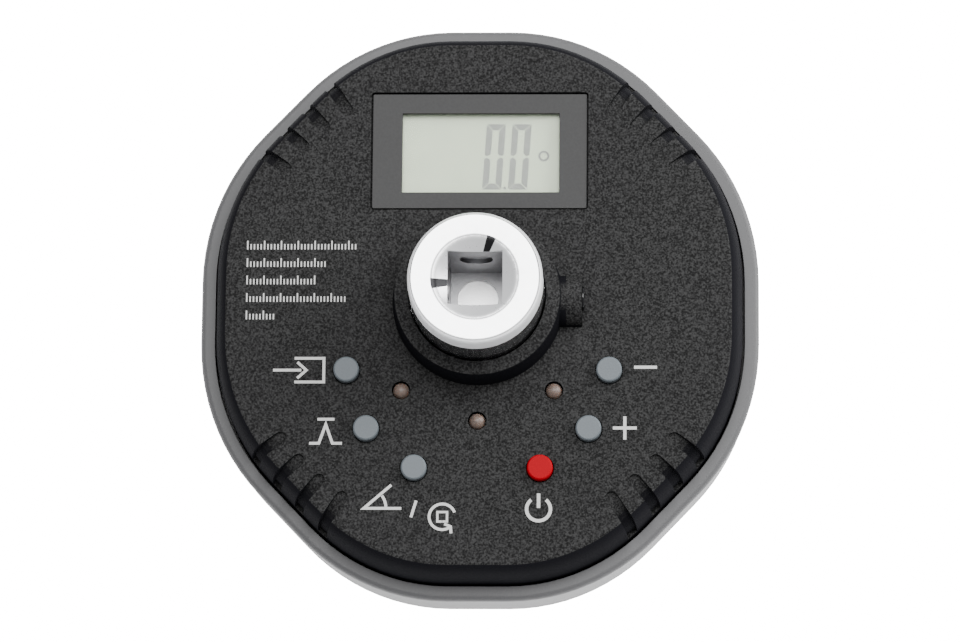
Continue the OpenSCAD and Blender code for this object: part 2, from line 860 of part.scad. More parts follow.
module tray(grow, low, high) {
  translate([-cell_span / 2 - grow, -tray_end - grow, low])
    cube([cell_span + 2 * grow, tray_end - cell_start + 2 * grow, high - low]);
}

module shell_posts() {
  at_each(screw_places) {
    rod(post_r, floor_z - back_t / 2, post_top);
    rod(screw_head_r + screw_gap + tray_wall, floor_z - back_t / 2, screw_seat + screw_head_h);
  }
  rod(hub_bore + hub_wall, floor_z - back_t / 2, hub_top);
  tray(tray_wall, floor_z - back_t / 2, tray_top + tray_wall);
}

module door_space() {
  translate([-door_half - door_gap, -half_y - over, back_z - over])
    cube([2 * (door_half + door_gap), half_y + over - door_start + door_gap, door_t + door_gap + over]);
  translate([-door_half - rail_w - door_gap, -half_y - over, rail_z - door_gap])
    cube([
      2 * (door_half + rail_w + door_gap),
      half_y + over - door_start + door_gap,
      rail_t + 2 * door_gap
    ]);
}

module rear_shell() {
  color([0.55, 0.55, 0.56])
    difference() {
      union() {
        difference() {
          shell_outside();
          shell_inside();
        }
        shell_posts();
      }
      door_space();
      tray(0, back_z, tray_top);
      rod(hub_bore, back_z - over, hub_top + over);
      rod(rear_recess_r, back_z - over, back_z + recess_depth + door_gap);
      at_each(screw_places) {
        rod(screw_head_r + screw_gap, back_z - over, screw_seat);
        rod(screw_r + screw_gap, back_z - over, post_top + over);
      }
      for (row = tab_rows)
        translate([cell_span / 2 - contact_t / 2, -row, 0])
          block(contact_t + 2 * fit_gap, tab_w + 2 * fit_gap, tray_top - over, board_z);
    }
}

module shell_gasket() {
  color([0.08, 0.08, 0.09])
    difference() {
      prism(cover_inset, ledge_z, cover_z);
      prism(inside_inset, ledge_z - over, cover_z + over);
    }
}

module cross_recess(low) {
  block(2 * cross_r, cross_w, low - over, low + cross_depth);
  block(cross_w, 2 * cross_r, low - over, low + cross_depth);
}

module housing_screws() {
  color([0.35, 0.35, 0.37])
    at_each(screw_places)
      difference() {
        union() {
          rod(screw_head_r, screw_seat - screw_head_h, screw_seat);
          rod(screw_r, screw_seat - screw_head_h / 2, screw_top);
        }
        cross_recess(screw_seat - screw_head_h);
      }
}

module battery_door() {
  color([0.55, 0.55, 0.56])
    difference() {
      intersection() {
        shell_outside();
        union() {
          translate([-door_half, -half_y, back_z])
            cube([2 * door_half, half_y - door_start, door_t]);
          translate([-door_half - rail_w, -half_y, rail_z])
            cube([2 * (door_half + rail_w), half_y - door_start, rail_t]);
        }
      }
      for (i = [0:grip_count])
        translate([0, -tray_end - (i - grip_count / 2) * grip_pitch, 0])
          block(grip_len, grip_w, back_z - over, back_z + grip_depth);
    }
}

// Display

module display_bezel() {
  color([0.42, 0.42, 0.42])
    translate([0, bezel_y, 0])
      difference() {
        rounded_block(bezel_w, bezel_l, bezel_corner, bezel_z, bezel_z + bezel_t);
        translate([view_aside, -view_shift, 0])
          block(view_w, view_l, bezel_z - over, face_z + over);
      }
}

module display_window() {
  color([0.85, 0.9, 0.88])
    translate([view_aside, bezel_y - view_shift, 0])
      block(window_w, window_l, window_z, bezel_z);
}

// The panel's glasses, with the rear glass and its polariser stepped in
module lcd_panel() {
  color([0.72, 0.76, 0.69])
    translate([view_aside, bezel_y - view_shift, 0])
      difference() {
        block(lcd_w, lcd_l, lcd_z, lcd_top);
        for (side = [-1, 1])
          translate([0, side * lcd_l / 2, 0])
            block(lcd_w + over, holder_seat, lcd_z + lcd_t / 2, lcd_top + over);
      }
}

module lcd_holder() {
  color([0.85, 0.85, 0.82])
    translate([view_aside, bezel_y - view_shift, 0])
      difference() {
        block(
          lcd_w + 2 * holder_wall, lcd_l + 2 * holder_wall, board_top, plate_z - fit_gap
        );
        block(lcd_w + 2 * fit_gap, lcd_l + 2 * fit_gap, lcd_z, face_z);
        block(lcd_w - 2 * holder_seat, lcd_l - 2 * holder_seat, board_top - over, face_z);
      }
}

module contact_strips() {
  color([0.7, 0.45, 0.5])
    for (side = [-1, 1])
      translate([view_aside, bezel_y - view_shift + side * strip_y, 0])
        block(lcd_w - 2 * holder_seat - 2 * fit_gap, strip_t, board_top, lcd_z);
}

// Buttons and switches

module button(place) {
  radius = button_d / 2;
  button_top = face_z + button_out;
  at_place(place)
    rotate_extrude()
      polygon([
        [0, plunger_top],
        [stem_r, plunger_top],
        [stem_r, flange_low],
        [button_flange_r, flange_low],
        [button_flange_r, flange_top],
        [radius, flange_top],
        [radius, button_top - button_edge],
        [radius - button_edge, button_top],
        [0, button_top]
      ]);
}

module plunger(place) {
  color([0.12, 0.12, 0.12])
    at_place(place)
      rod(plunger_r, plunger_z, plunger_top);
}

module memory_button() {
  color([0.6, 0.64, 0.66])
    button(memory_at);
}

module peak_button() {
  color([0.6, 0.64, 0.66])
    button(peak_at);
}

module angle_button() {
  color([0.6, 0.64, 0.66])
    button(angle_at);
}

module power_button() {
  color([0.83, 0.14, 0.17])
    button(lower_pair);
}

module plus_button() {
  color([0.6, 0.64, 0.66])
    button(middle_pair);
}

module minus_button() {
  color([0.6, 0.64, 0.66])
    button(upper_pair);
}

module memory_plunger() {
  plunger(memory_at);
}

module peak_plunger() {
  plunger(peak_at);
}

module angle_plunger() {
  plunger(angle_at);
}

module power_plunger() {
  plunger(lower_pair);
}

module plus_plunger() {
  plunger(middle_pair);
}

module minus_plunger() {
  plunger(upper_pair);
}

module tact_switches() {
  color([0.25, 0.25, 0.26])
    at_each(button_places)
      difference() {
        block(switch_w, switch_w, board_top, switch_top);
        rod(plunger_r + plunger_gap, plunger_z - button_travel - fit_gap, switch_top + over);
      }
}

// Indicator lamps

module indicator_lamps() {
  radius = lamp_d / 2;
  color([0.8, 0.68, 0.58])
    at_each(lamp_places)
      rotate_extrude()
        polygon(concat(
          [
            [0, lamp_z],
            [lamp_foot_r, lamp_z],
            [lamp_foot_r, lamp_z + lamp_foot_t],
            [radius, lamp_z + lamp_foot_t]
          ],
          [
            for (step = [0:7])
              let (turn = step / 8 * 90)
                [radius * cos(turn), lamp_z + lamp_len - radius + radius * sin(turn)]
          ],
          [[0, lamp_z + lamp_len]]
        ));
}

module lamp_leads() {
  color([0.75, 0.75, 0.76])
    at_each(lamp_places)
      for (side = [-1, 1])
        translate([side * lead_pitch / 2, 0, 0])
          rod(lead_r, board_z - lead_tail, lamp_z);
}

// Board and what it carries

module main_board() {
  color([0.1, 0.35, 0.2])
    difference() {
      translate([0, 0, board_z])
        linear_extrude(board_t)
          polygon(outline(board_inset));
      rod(flange_r + board_hole_gap, board_z - over, board_top + over);
      at_each(screw_places)
        rod(post_r + screw_gap, board_z - over, board_top + over);
      at_each(board_screw_places)
        rod(board_screw_r + screw_gap, board_z - over, board_top + over);
      at_each(lamp_places)
        for (side = [-1, 1])
          translate([side * lead_pitch / 2, 0, 0])
            rod(lead_r + fit_gap, board_z - over, board_top + over);
    }
}

module board_screws() {
  color([0.7, 0.7, 0.7])
    at_each(board_screw_places)
      difference() {
        union() {
          rod(board_head_r, board_z - board_head_h, board_z);
          rod(board_screw_r, board_z - board_head_h / 2, plate_z - board_screw_r);
        }
        translate([0, 0, board_z - board_head_h])
          block(2 * board_screw_r, board_screw_r / 2, -over, board_head_h / 2);
      }
}

module microcontroller() {
  color([0.1, 0.1, 0.1])
    at_place(chip_at) {
      block(chip_w, chip_w, board_top + leg_w / 2, board_top + chip_t);
      for (side = [0:3])
        rotate(side * 90)
          for (i = [-3:3])
            translate([0, i * leg_pitch, 0])
              translate([chip_w / 2 - leg_reach, -leg_w / 2, board_top])
                cube([2 * leg_reach, leg_w, leg_w]);
    }
}

// Flat package with its longer side along x, above or below a board surface
module package(place, size, low) {
  at_place(place)
    block(size[0], size[1], low, low + size[2]);
}

module motion_sensor() {
  color([0.12, 0.12, 0.13])
    package(sensor_at, sensor_size, board_top);
}

module bridge_amplifier() {
  color([0.12, 0.12, 0.13])
    package(amplifier_at, amplifier_size, board_z - amplifier_size[2]);
}

module crystal() {
  color([0.75, 0.75, 0.76])
    package(crystal_at, crystal_size, board_top);
}

module buzzer() {
  color([0.1, 0.1, 0.1])
    at_place(buzzer_at)
      difference() {
        rod(buzzer_r, board_top, board_top + buzzer_h);
        rod(buzzer_hole_r, board_top + buzzer_h - buzzer_hole_depth, board_top + buzzer_h + over);
      }
}

// Drive spindle

module spindle_blank() {
  rotate_extrude()
    polygon([
      [0, male_len],
      [neck_r, male_len],
      [neck_r, shoulder_z],
      [journal_r - tail_chamfer, shoulder_z],
      [journal_r, shoulder_z + tail_chamfer],
      [journal_r, ring_z],
      [journal_r - ring_groove, ring_z],
      [journal_r - ring_groove, ring_z + ring_t],
      [journal_r, ring_z + ring_t],
      [journal_r, journal_top],
      [collar_r, journal_top],
      [collar_r, journal_top + collar_h],
      [torsion_r, journal_top + collar_h],
      [torsion_r, sleeve_top - collar_h],
      [collar_r, sleeve_top - collar_h],
      [collar_r, flange_z],
      [flange_r, flange_z],
      [flange_r, flange_z + flange_t],
      [head_r, flange_z + flange_t],
      [head_r, top_z - head_chamfer_h],
      [head_r - head_chamfer_w, top_z],
      [0, top_z]
    ]);
}

// The torsion section's four flats
module torsion_flats() {
  for (side = [0:3])
    rotate(side * 90)
      translate([torsion_w / 2, -torsion_r, journal_top + collar_h])
        cube([torsion_r, 2 * torsion_r, sleeve_top - journal_top - 2 * collar_h]);
}

module female_square() {
  block(female_w, female_w, top_z - female_depth, top_z + over);
  translate([0, 0, top_z - mouth_depth])
    cylinder(
      r1 = female_w / 2,
      r2 = mouth_r + (mouth_r - female_w / 2) * over / mouth_depth,
      h = mouth_depth + over
    );
  rod(pilot_r, top_z - female_depth - pilot_depth, top_z);
  for (side = [0, 1])
    translate([0, 0, top_z - recess_down])
      rotate([90, 0, side * 90])
        cylinder(r = recess_r, h = female_w + 2 * recess_t, center = true);
}

module male_square() {
  intersection() {
    block(male_w, male_w, 0, male_len);
    rotate_extrude()
      polygon([
        [0, 0],
        [male_lead_r, 0],
        [male_corner_r, male_lead_h],
        [male_corner_r, male_len],
        [0, male_len]
      ]);
  }
}

module drive_spindle() {
  color([0.8, 0.8, 0.82])
    difference() {
      union() {
        spindle_blank();
        male_square();
      }
      torsion_flats();
      female_square();
      translate([0, -male_w / 2 - over, ball_z])
        rotate([-90, 0, 0])
          cylinder(r = ball_r + ball_gap, h = ball_hole_depth + over);
      translate([head_r - clamp_point, 0, clamp_z])
        rotate([0, 90, 0])
          cylinder(r = lug_bore_r, h = head_r);
    }
}

module strain_gauges() {
  color([0.85, 0.6, 0.25])
    for (side = [0:3])
      rotate(side * 90)
        translate([torsion_w / 2, -gauge_w / 2, gauge_z])
          cube([gauge_t, gauge_w, gauge_l]);
}

module gauge_sleeve() {
  color([0.3, 0.3, 0.32])
    difference() {
      tube(collar_r + journal_gap + sleeve_t, collar_r + journal_gap, journal_top, sleeve_top);
      translate([-flex_w / 2 - fit_gap, 0, flex_z - flex_t - fit_gap])
        cube([flex_w + 2 * fit_gap, flange_r, sleeve_top - flex_z + flex_t + fit_gap + over]);
    }
}

// Flat lead from the gauge on the display side out to the board's connector
module gauge_flex() {
  near = torsion_w / 2 + gauge_t;
  color([0.9, 0.55, 0.15])
    translate([flex_w / 2, 0, 0])
      rotate([90, 0, -90])
        linear_extrude(flex_w)
          polygon([
            [-near, gauge_z + gauge_l / 2],
            [-near - flex_t, gauge_z + gauge_l / 2],
            [-near - flex_t, flex_z - flex_t],
            [-connector_y, flex_z - flex_t],
            [-connector_y, flex_z],
            [-near, flex_z]
          ]);
}

module flex_connector() {
  color([0.9, 0.88, 0.8])
    translate([0, connector_y + connector_l / 2, 0])
      block(flex_w + connector_l, connector_l, flex_z - 2 * flex_t, board_z);
}

module detent_ball() {
  color([0.75, 0.75, 0.77])
    translate([0, ball_y, ball_z])
      sphere(r = ball_r);
}

module detent_spring() {
  coil_r = ball_r - 2 * spring_wire;
  touch = sqrt(ball_r * ball_r - coil_r * coil_r);
  hole_end = ball_hole_depth - male_w / 2;
  color([0.6, 0.6, 0.62])
    translate([0, hole_end, ball_z])
      rotate([90, 0, 0])
        coil(coil_r, coil_r, hole_end - ball_y - touch - fit_gap, spring_wire, 4);
}

// Seals and bearings

module front_seal() {
  color([0.05, 0.05, 0.05])
    translate([0, 0, seal_z])
      rotate_extrude()
        translate([head_r + seal_r + journal_gap, 0])
          circle(r = seal_r - journal_gap, $fn = 32);
}

module rear_bush() {
  bush_r = journal_r + journal_gap;
  color([0.9, 0.9, 0.86])
    union() {
      tube(hub_bore - journal_gap, bush_r, back_z + recess_depth + door_gap, hub_top + bush_flange_t);
      tube(bush_flange_r, bush_r, hub_top, hub_top + bush_flange_t);
    }
}

module rear_washer() {
  color([0.7, 0.7, 0.7])
    tube(rear_recess_r - fit_gap, journal_r + journal_gap, ring_z + ring_t, back_z + recess_depth);
}

module retaining_ring() {
  color([0.25, 0.25, 0.26])
    difference() {
      tube(journal_r + ring_w, journal_r - ring_groove + journal_gap, ring_z, ring_z + ring_t);
      translate([-ring_opening / 2, 0, ring_z - over])
        cube([ring_opening, journal_r + 2 * ring_w, ring_t + 2 * over]);
    }
}

// Clamp screw and its cap

module clamp_screw() {
  color([0.2, 0.2, 0.21])
    translate([clamp_start, 0, clamp_z])
      rotate([0, 90, 0])
        difference() {
          cylinder(r = clamp_r, h = clamp_len);
          translate([0, 0, clamp_len - clamp_hex_depth])
            cylinder(d = clamp_hex / cos(30), h = clamp_hex_depth + over, $fn = 6);
        }
}

module lug_cap() {
  color([0.07, 0.07, 0.08])
    translate([lug_end, 0, clamp_z])
      rotate([0, 90, 0]) {
        cylinder(r = clamp_up, h = cap_t);
        translate([0, 0, -cap_plug])
          cylinder(r = clamp_r, h = cap_plug + cap_t / 2);
      }
}

// Cells and contacts

// One cell along +X from the origin, its button towards +X
module cell() {
  rotate([0, 90, 0]) {
    cylinder(r = cell_r, h = cell_len);
    cylinder(r = cell_button_r, h = cell_len + cell_button_h);
  }
}

module battery_1() {
  color([0.2, 0.35, 0.6])
    translate([cell_left, -cell_rows[0], cell_z])
      cell();
}

module battery_2() {
  color([0.2, 0.35, 0.6])
    translate([-cell_left, -cell_rows[1], cell_z])
      mirror([1, 0, 0])
        cell();
}

// One plate joins both cells on the left; on the right each has its own, with a tab to the board
module battery_contacts() {
  plate_x = cell_span / 2 - contact_t / 2;
  plate_low = cell_z - contact_w / 2;
  plate_high = cell_z + contact_w / 2;
  color([0.8, 0.8, 0.8]) {
    translate([-plate_x, -(cell_rows[0] + cell_rows[1]) / 2, 0])
      block(contact_t, cell_pitch + contact_w, plate_low, plate_high);
    for (row = cell_rows)
      translate([plate_x, -row, 0])
        block(contact_t, contact_w, plate_low, plate_high);
    for (row = tab_rows)
      translate([plate_x, -row, 0])
        block(contact_t, tab_w, cell_z, board_z);
  }
}

module battery_springs() {
  color([0.8, 0.8, 0.8])
    for (row = [0:1])
      mirror([row, 0, 0])
        translate([-cell_span / 2 + contact_t, -cell_rows[row], cell_z])
          rotate([0, 90, 0])
            coil(
              cell_r * spring_wide_share, cell_r * spring_narrow_share,
              spring_len, contact_wire, 4
            );
}

front_cover();
rear_shell();
shell_gasket();
housing_screws();
battery_door();
display_bezel();
display_window();
lcd_panel();
lcd_holder();
contact_strips();
memory_button();
peak_button();
angle_button();
power_button();
plus_button();
minus_button();
memory_plunger();
peak_plunger();
angle_plunger();
power_plunger();
plus_plunger();
minus_plunger();
tact_switches();
indicator_lamps();
lamp_leads();
main_board();
board_screws();
microcontroller();
motion_sensor();
bridge_amplifier();
crystal();
buzzer();
drive_spindle();
strain_gauges();
gauge_sleeve();
gauge_flex();
flex_connector();
detent_ball();
detent_spring();
front_seal();
rear_bush();
rear_washer();
retaining_ring();
clamp_screw();
lug_cap();
battery_1();
battery_2();
battery_contacts();
battery_springs();
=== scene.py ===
import math

import bmesh
import bpy
from bpy.props import FloatProperty, FloatVectorProperty, PointerProperty
from mathutils import Matrix, Vector


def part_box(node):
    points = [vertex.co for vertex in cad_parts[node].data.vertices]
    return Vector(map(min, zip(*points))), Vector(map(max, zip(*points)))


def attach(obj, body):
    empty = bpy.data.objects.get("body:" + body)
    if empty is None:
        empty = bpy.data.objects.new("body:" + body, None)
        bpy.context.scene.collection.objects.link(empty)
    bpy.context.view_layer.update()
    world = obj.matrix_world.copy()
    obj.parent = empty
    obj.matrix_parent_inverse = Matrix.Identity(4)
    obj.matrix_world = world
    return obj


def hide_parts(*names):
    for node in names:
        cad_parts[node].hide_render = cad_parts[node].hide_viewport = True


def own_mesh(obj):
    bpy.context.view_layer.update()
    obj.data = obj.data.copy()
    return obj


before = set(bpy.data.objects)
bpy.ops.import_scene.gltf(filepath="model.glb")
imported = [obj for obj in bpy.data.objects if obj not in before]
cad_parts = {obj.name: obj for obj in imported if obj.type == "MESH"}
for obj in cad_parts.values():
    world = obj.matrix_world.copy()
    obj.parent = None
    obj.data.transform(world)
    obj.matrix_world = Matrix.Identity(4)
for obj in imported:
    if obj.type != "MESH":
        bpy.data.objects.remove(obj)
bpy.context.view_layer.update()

bl_info = {
    "name": "Digital torque angle adapter",
    "version": (1, 0, 0),
    "blender": (4, 5, 0),
    "location": "View3D > Sidebar > Adapter",
    "description": "Finishes the pieces, adds the printing and display, and sets the stage",
    "category": "Object",
}

MM = 0.001

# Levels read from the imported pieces: the lamps stand a little above the front face
LAMP_OUT = 0.4 * MM
FACE_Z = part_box("indicator_lamps")[1][2] - LAMP_OUT
PANEL_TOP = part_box("lcd_panel")[1][2]
BACK_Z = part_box("battery_door")[0][2]

# Where the drive spindle's finish changes, a little outside its true surfaces
SPINDLE_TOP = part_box("drive_spindle")[1][2]
MOUTH_R = 7.8 * MM
HEAD_SIDE = 11.3 * MM
# Lower end of the painted pale band on the head's side
BAND_END = SPINDLE_TOP - 4.6 * MM
CONE_END = SPINDLE_TOP - 1.35 * MM
SQUARE_FLOOR = SPINDLE_TOP - 17.1 * MM

# Painted fine dark lines on the head's end, standing in for the dark reflections in its edges: the
# radius of each, and half its width
MOUTH_LINE = (MOUTH_R - 0.2 * MM, 0.13 * MM)
EDGE_LINE = (HEAD_SIDE - 0.05 * MM, 0.1 * MM)
LINE_STRENGTH = 0.6

# Painted dark reflections across the mouth's cone: where each lies round it, and half its width
FAR_STREAK = (math.radians(68), math.radians(6))
LEFT_STREAK = (math.radians(-171), math.radians(7))

# The clamp lug lies past the boss round the spindle, and above the face
BOSS_R = 15.6 * MM
LUG_LEVEL = FACE_Z + 1 * MM

# Points closer than these are one, in a CAD node and in a printed mark
NODE_MERGE = 0.001 * MM
MARK_MERGE = 0.0005 * MM

# How much brighter the paper looks to the camera than it lights the adapter
BURNT_OUT = 9

HOUSING = "housing"


def linear(code):
    """An sRGB hex colour as linear red, green, blue and alpha."""
    shares = [int(code[i:i + 2], 16) / 255 for i in (0, 2, 4)]
    return tuple(
        c / 12.92 if c <= 0.04045 else ((c + 0.055) / 1.055) ** 2.4 for c in shares
    ) + (1.0,)


def add_node(tree, kind, inputs=None, **settings):
    """A node with its settings; each input is a value or another node's output."""
    node = tree.nodes.new(kind)
    for key, value in settings.items():
        setattr(node, key, value)
    for key, value in (inputs or {}).items():
        if isinstance(value, bpy.types.NodeSocket):
            tree.links.new(value, node.inputs[key])
        else:
            node.inputs[key].default_value = value
    return node


def new_finish(name, **sockets):
    """A material with one Principled shader, and its tree; sockets are set on the shader."""
    material = bpy.data.materials.new(name)
    material.use_nodes = True
    tree = material.node_tree
    tree.nodes.clear()
    shader = add_node(
        tree, "ShaderNodeBsdfPrincipled", {k.replace("_", " "): v for k, v in sockets.items()}
    )
    add_node(tree, "ShaderNodeOutputMaterial", {"Surface": shader.outputs["BSDF"]})
    return material, tree, shader


def moulded(name, color, roughness, grain=0.25 * MM, depth=0.01 * MM, mottle=0.12, **sockets):
    """Moulded plastic or rubber: an even colour broken a little by the tool's fine grain."""
    material, tree, shader = new_finish(name, Roughness=roughness, **sockets)
    place = add_node(tree, "ShaderNodeTexCoord")
    noise = add_node(
        tree, "ShaderNodeTexNoise",
        {"Vector": place.outputs["Object"], "Scale": 1 / grain, "Detail": 2.0},
    )
    shade = add_node(
        tree, "ShaderNodeMapRange",
        {"Value": noise.outputs["Fac"], "From Min": 0.35, "From Max": 0.65},
    )
    dark = tuple(c * (1 - mottle) for c in color[:3]) + (1.0,)
    light = tuple(min(1, c * (1 + mottle)) for c in color[:3]) + (1.0,)
    mix = add_node(
        tree, "ShaderNodeMix", {0: shade.outputs["Result"], 6: dark, 7: light}, data_type="RGBA"
    )
    bump = add_node(tree, "ShaderNodeBump", {"Height": noise.outputs["Fac"], "Distance": depth})
    tree.links.new(mix.outputs[2], shader.inputs["Base Color"])
    tree.links.new(bump.outputs["Normal"], shader.inputs["Normal"])
    return material


def worked_metal(name, color, roughness, grain, depth, stretch=(1, 1, 1)):
    """Metal with the marks of how it was cut, drawn or rolled, seen in its shine."""
    material, tree, shader = new_finish(name, Base_Color=color, Metallic=1.0)
    place = add_node(tree, "ShaderNodeTexCoord")
    along = add_node(
        tree, "ShaderNodeMapping", {"Vector": place.outputs["Object"], "Scale": stretch}
    )
    noise = add_node(
        tree, "ShaderNodeTexNoise",
        {"Vector": along.outputs["Vector"], "Scale": 1 / grain, "Detail": 3.0},
    )
    rough = add_node(
        tree, "ShaderNodeMapRange",
        {"Value": noise.outputs["Fac"], "From Min": 0.3, "From Max": 0.7,
         "To Min": roughness - 0.08, "To Max": roughness + 0.08},
    )
    bump = add_node(tree, "ShaderNodeBump", {"Height": noise.outputs["Fac"], "Distance": depth})
    tree.links.new(rough.outputs["Result"], shader.inputs["Roughness"])
    tree.links.new(bump.outputs["Normal"], shader.inputs["Normal"])
    return material


def spark_textured_abs(settings):
    """Black ABS from a spark-eroded tool: flat faces and the clamp lug sparkle with coarse
    pits, and the polished shoulder, walls and edges stay smooth and a shade bluer."""
    material, tree, shader = new_finish("spark_textured_abs", Roughness=0.7, IOR=1.5)
    geometry = add_node(tree, "ShaderNodeNewGeometry")
    up = add_node(tree, "ShaderNodeSeparateXYZ", {"Vector": geometry.outputs["True Normal"]})
    level = add_node(
        tree, "ShaderNodeMapRange", {"Value": up.outputs["Z"], "From Min": 0.82, "From Max": 0.94}
    )
    place = add_node(tree, "ShaderNodeTexCoord")
    spot = add_node(tree, "ShaderNodeSeparateXYZ", {"Vector": place.outputs["Object"]})
    right = add_node(
        tree, "ShaderNodeMath", {0: spot.outputs["X"], 1: BOSS_R}, operation="GREATER_THAN"
    )
    above = add_node(
        tree, "ShaderNodeMath", {0: spot.outputs["Z"], 1: LUG_LEVEL}, operation="GREATER_THAN"
    )
    lug = add_node(
        tree, "ShaderNodeMath", {0: right.outputs["Value"], 1: above.outputs["Value"]},
        operation="MULTIPLY",
    )
    flat = add_node(
        tree, "ShaderNodeMath", {0: level.outputs["Result"], 1: lug.outputs["Value"]},
        operation="MAXIMUM",
    )
    pits = add_node(
        tree, "ShaderNodeTexNoise",
        {"Vector": place.outputs["Object"], "Scale": 1 / settings.grain_size, "Detail": 2.0},
    )
    shade = add_node(
        tree, "ShaderNodeMapRange",
        {"Value": pits.outputs["Fac"], "From Min": 0.38, "From Max": 0.66},
    )
    grain = add_node(
        tree, "ShaderNodeMix",
        {0: shade.outputs["Result"], 6: settings.pit_color, 7: settings.peak_color},
        data_type="RGBA",
    )
    color = add_node(
        tree, "ShaderNodeMix",
        {0: flat.outputs["Value"], 6: settings.smooth_color, 7: grain.outputs[2]},
        data_type="RGBA",
    )
    shine = add_node(
        tree, "ShaderNodeMapRange",
        {"Value": flat.outputs["Value"], "To Min": 0.02, "To Max": 0.12},
    )
    height = add_node(
        tree, "ShaderNodeMath", {0: pits.outputs["Fac"], 1: flat.outputs["Value"]},
        operation="MULTIPLY",
    )
    bump = add_node(
        tree, "ShaderNodeBump",
        {"Height": height.outputs["Value"], "Distance": settings.grain_depth},
    )
    tree.links.new(color.outputs[2], shader.inputs["Base Color"])
    tree.links.new(shine.outputs["Result"], shader.inputs["Specular IOR Level"])
    tree.links.new(bump.outputs["Normal"], shader.inputs["Normal"])
    return material


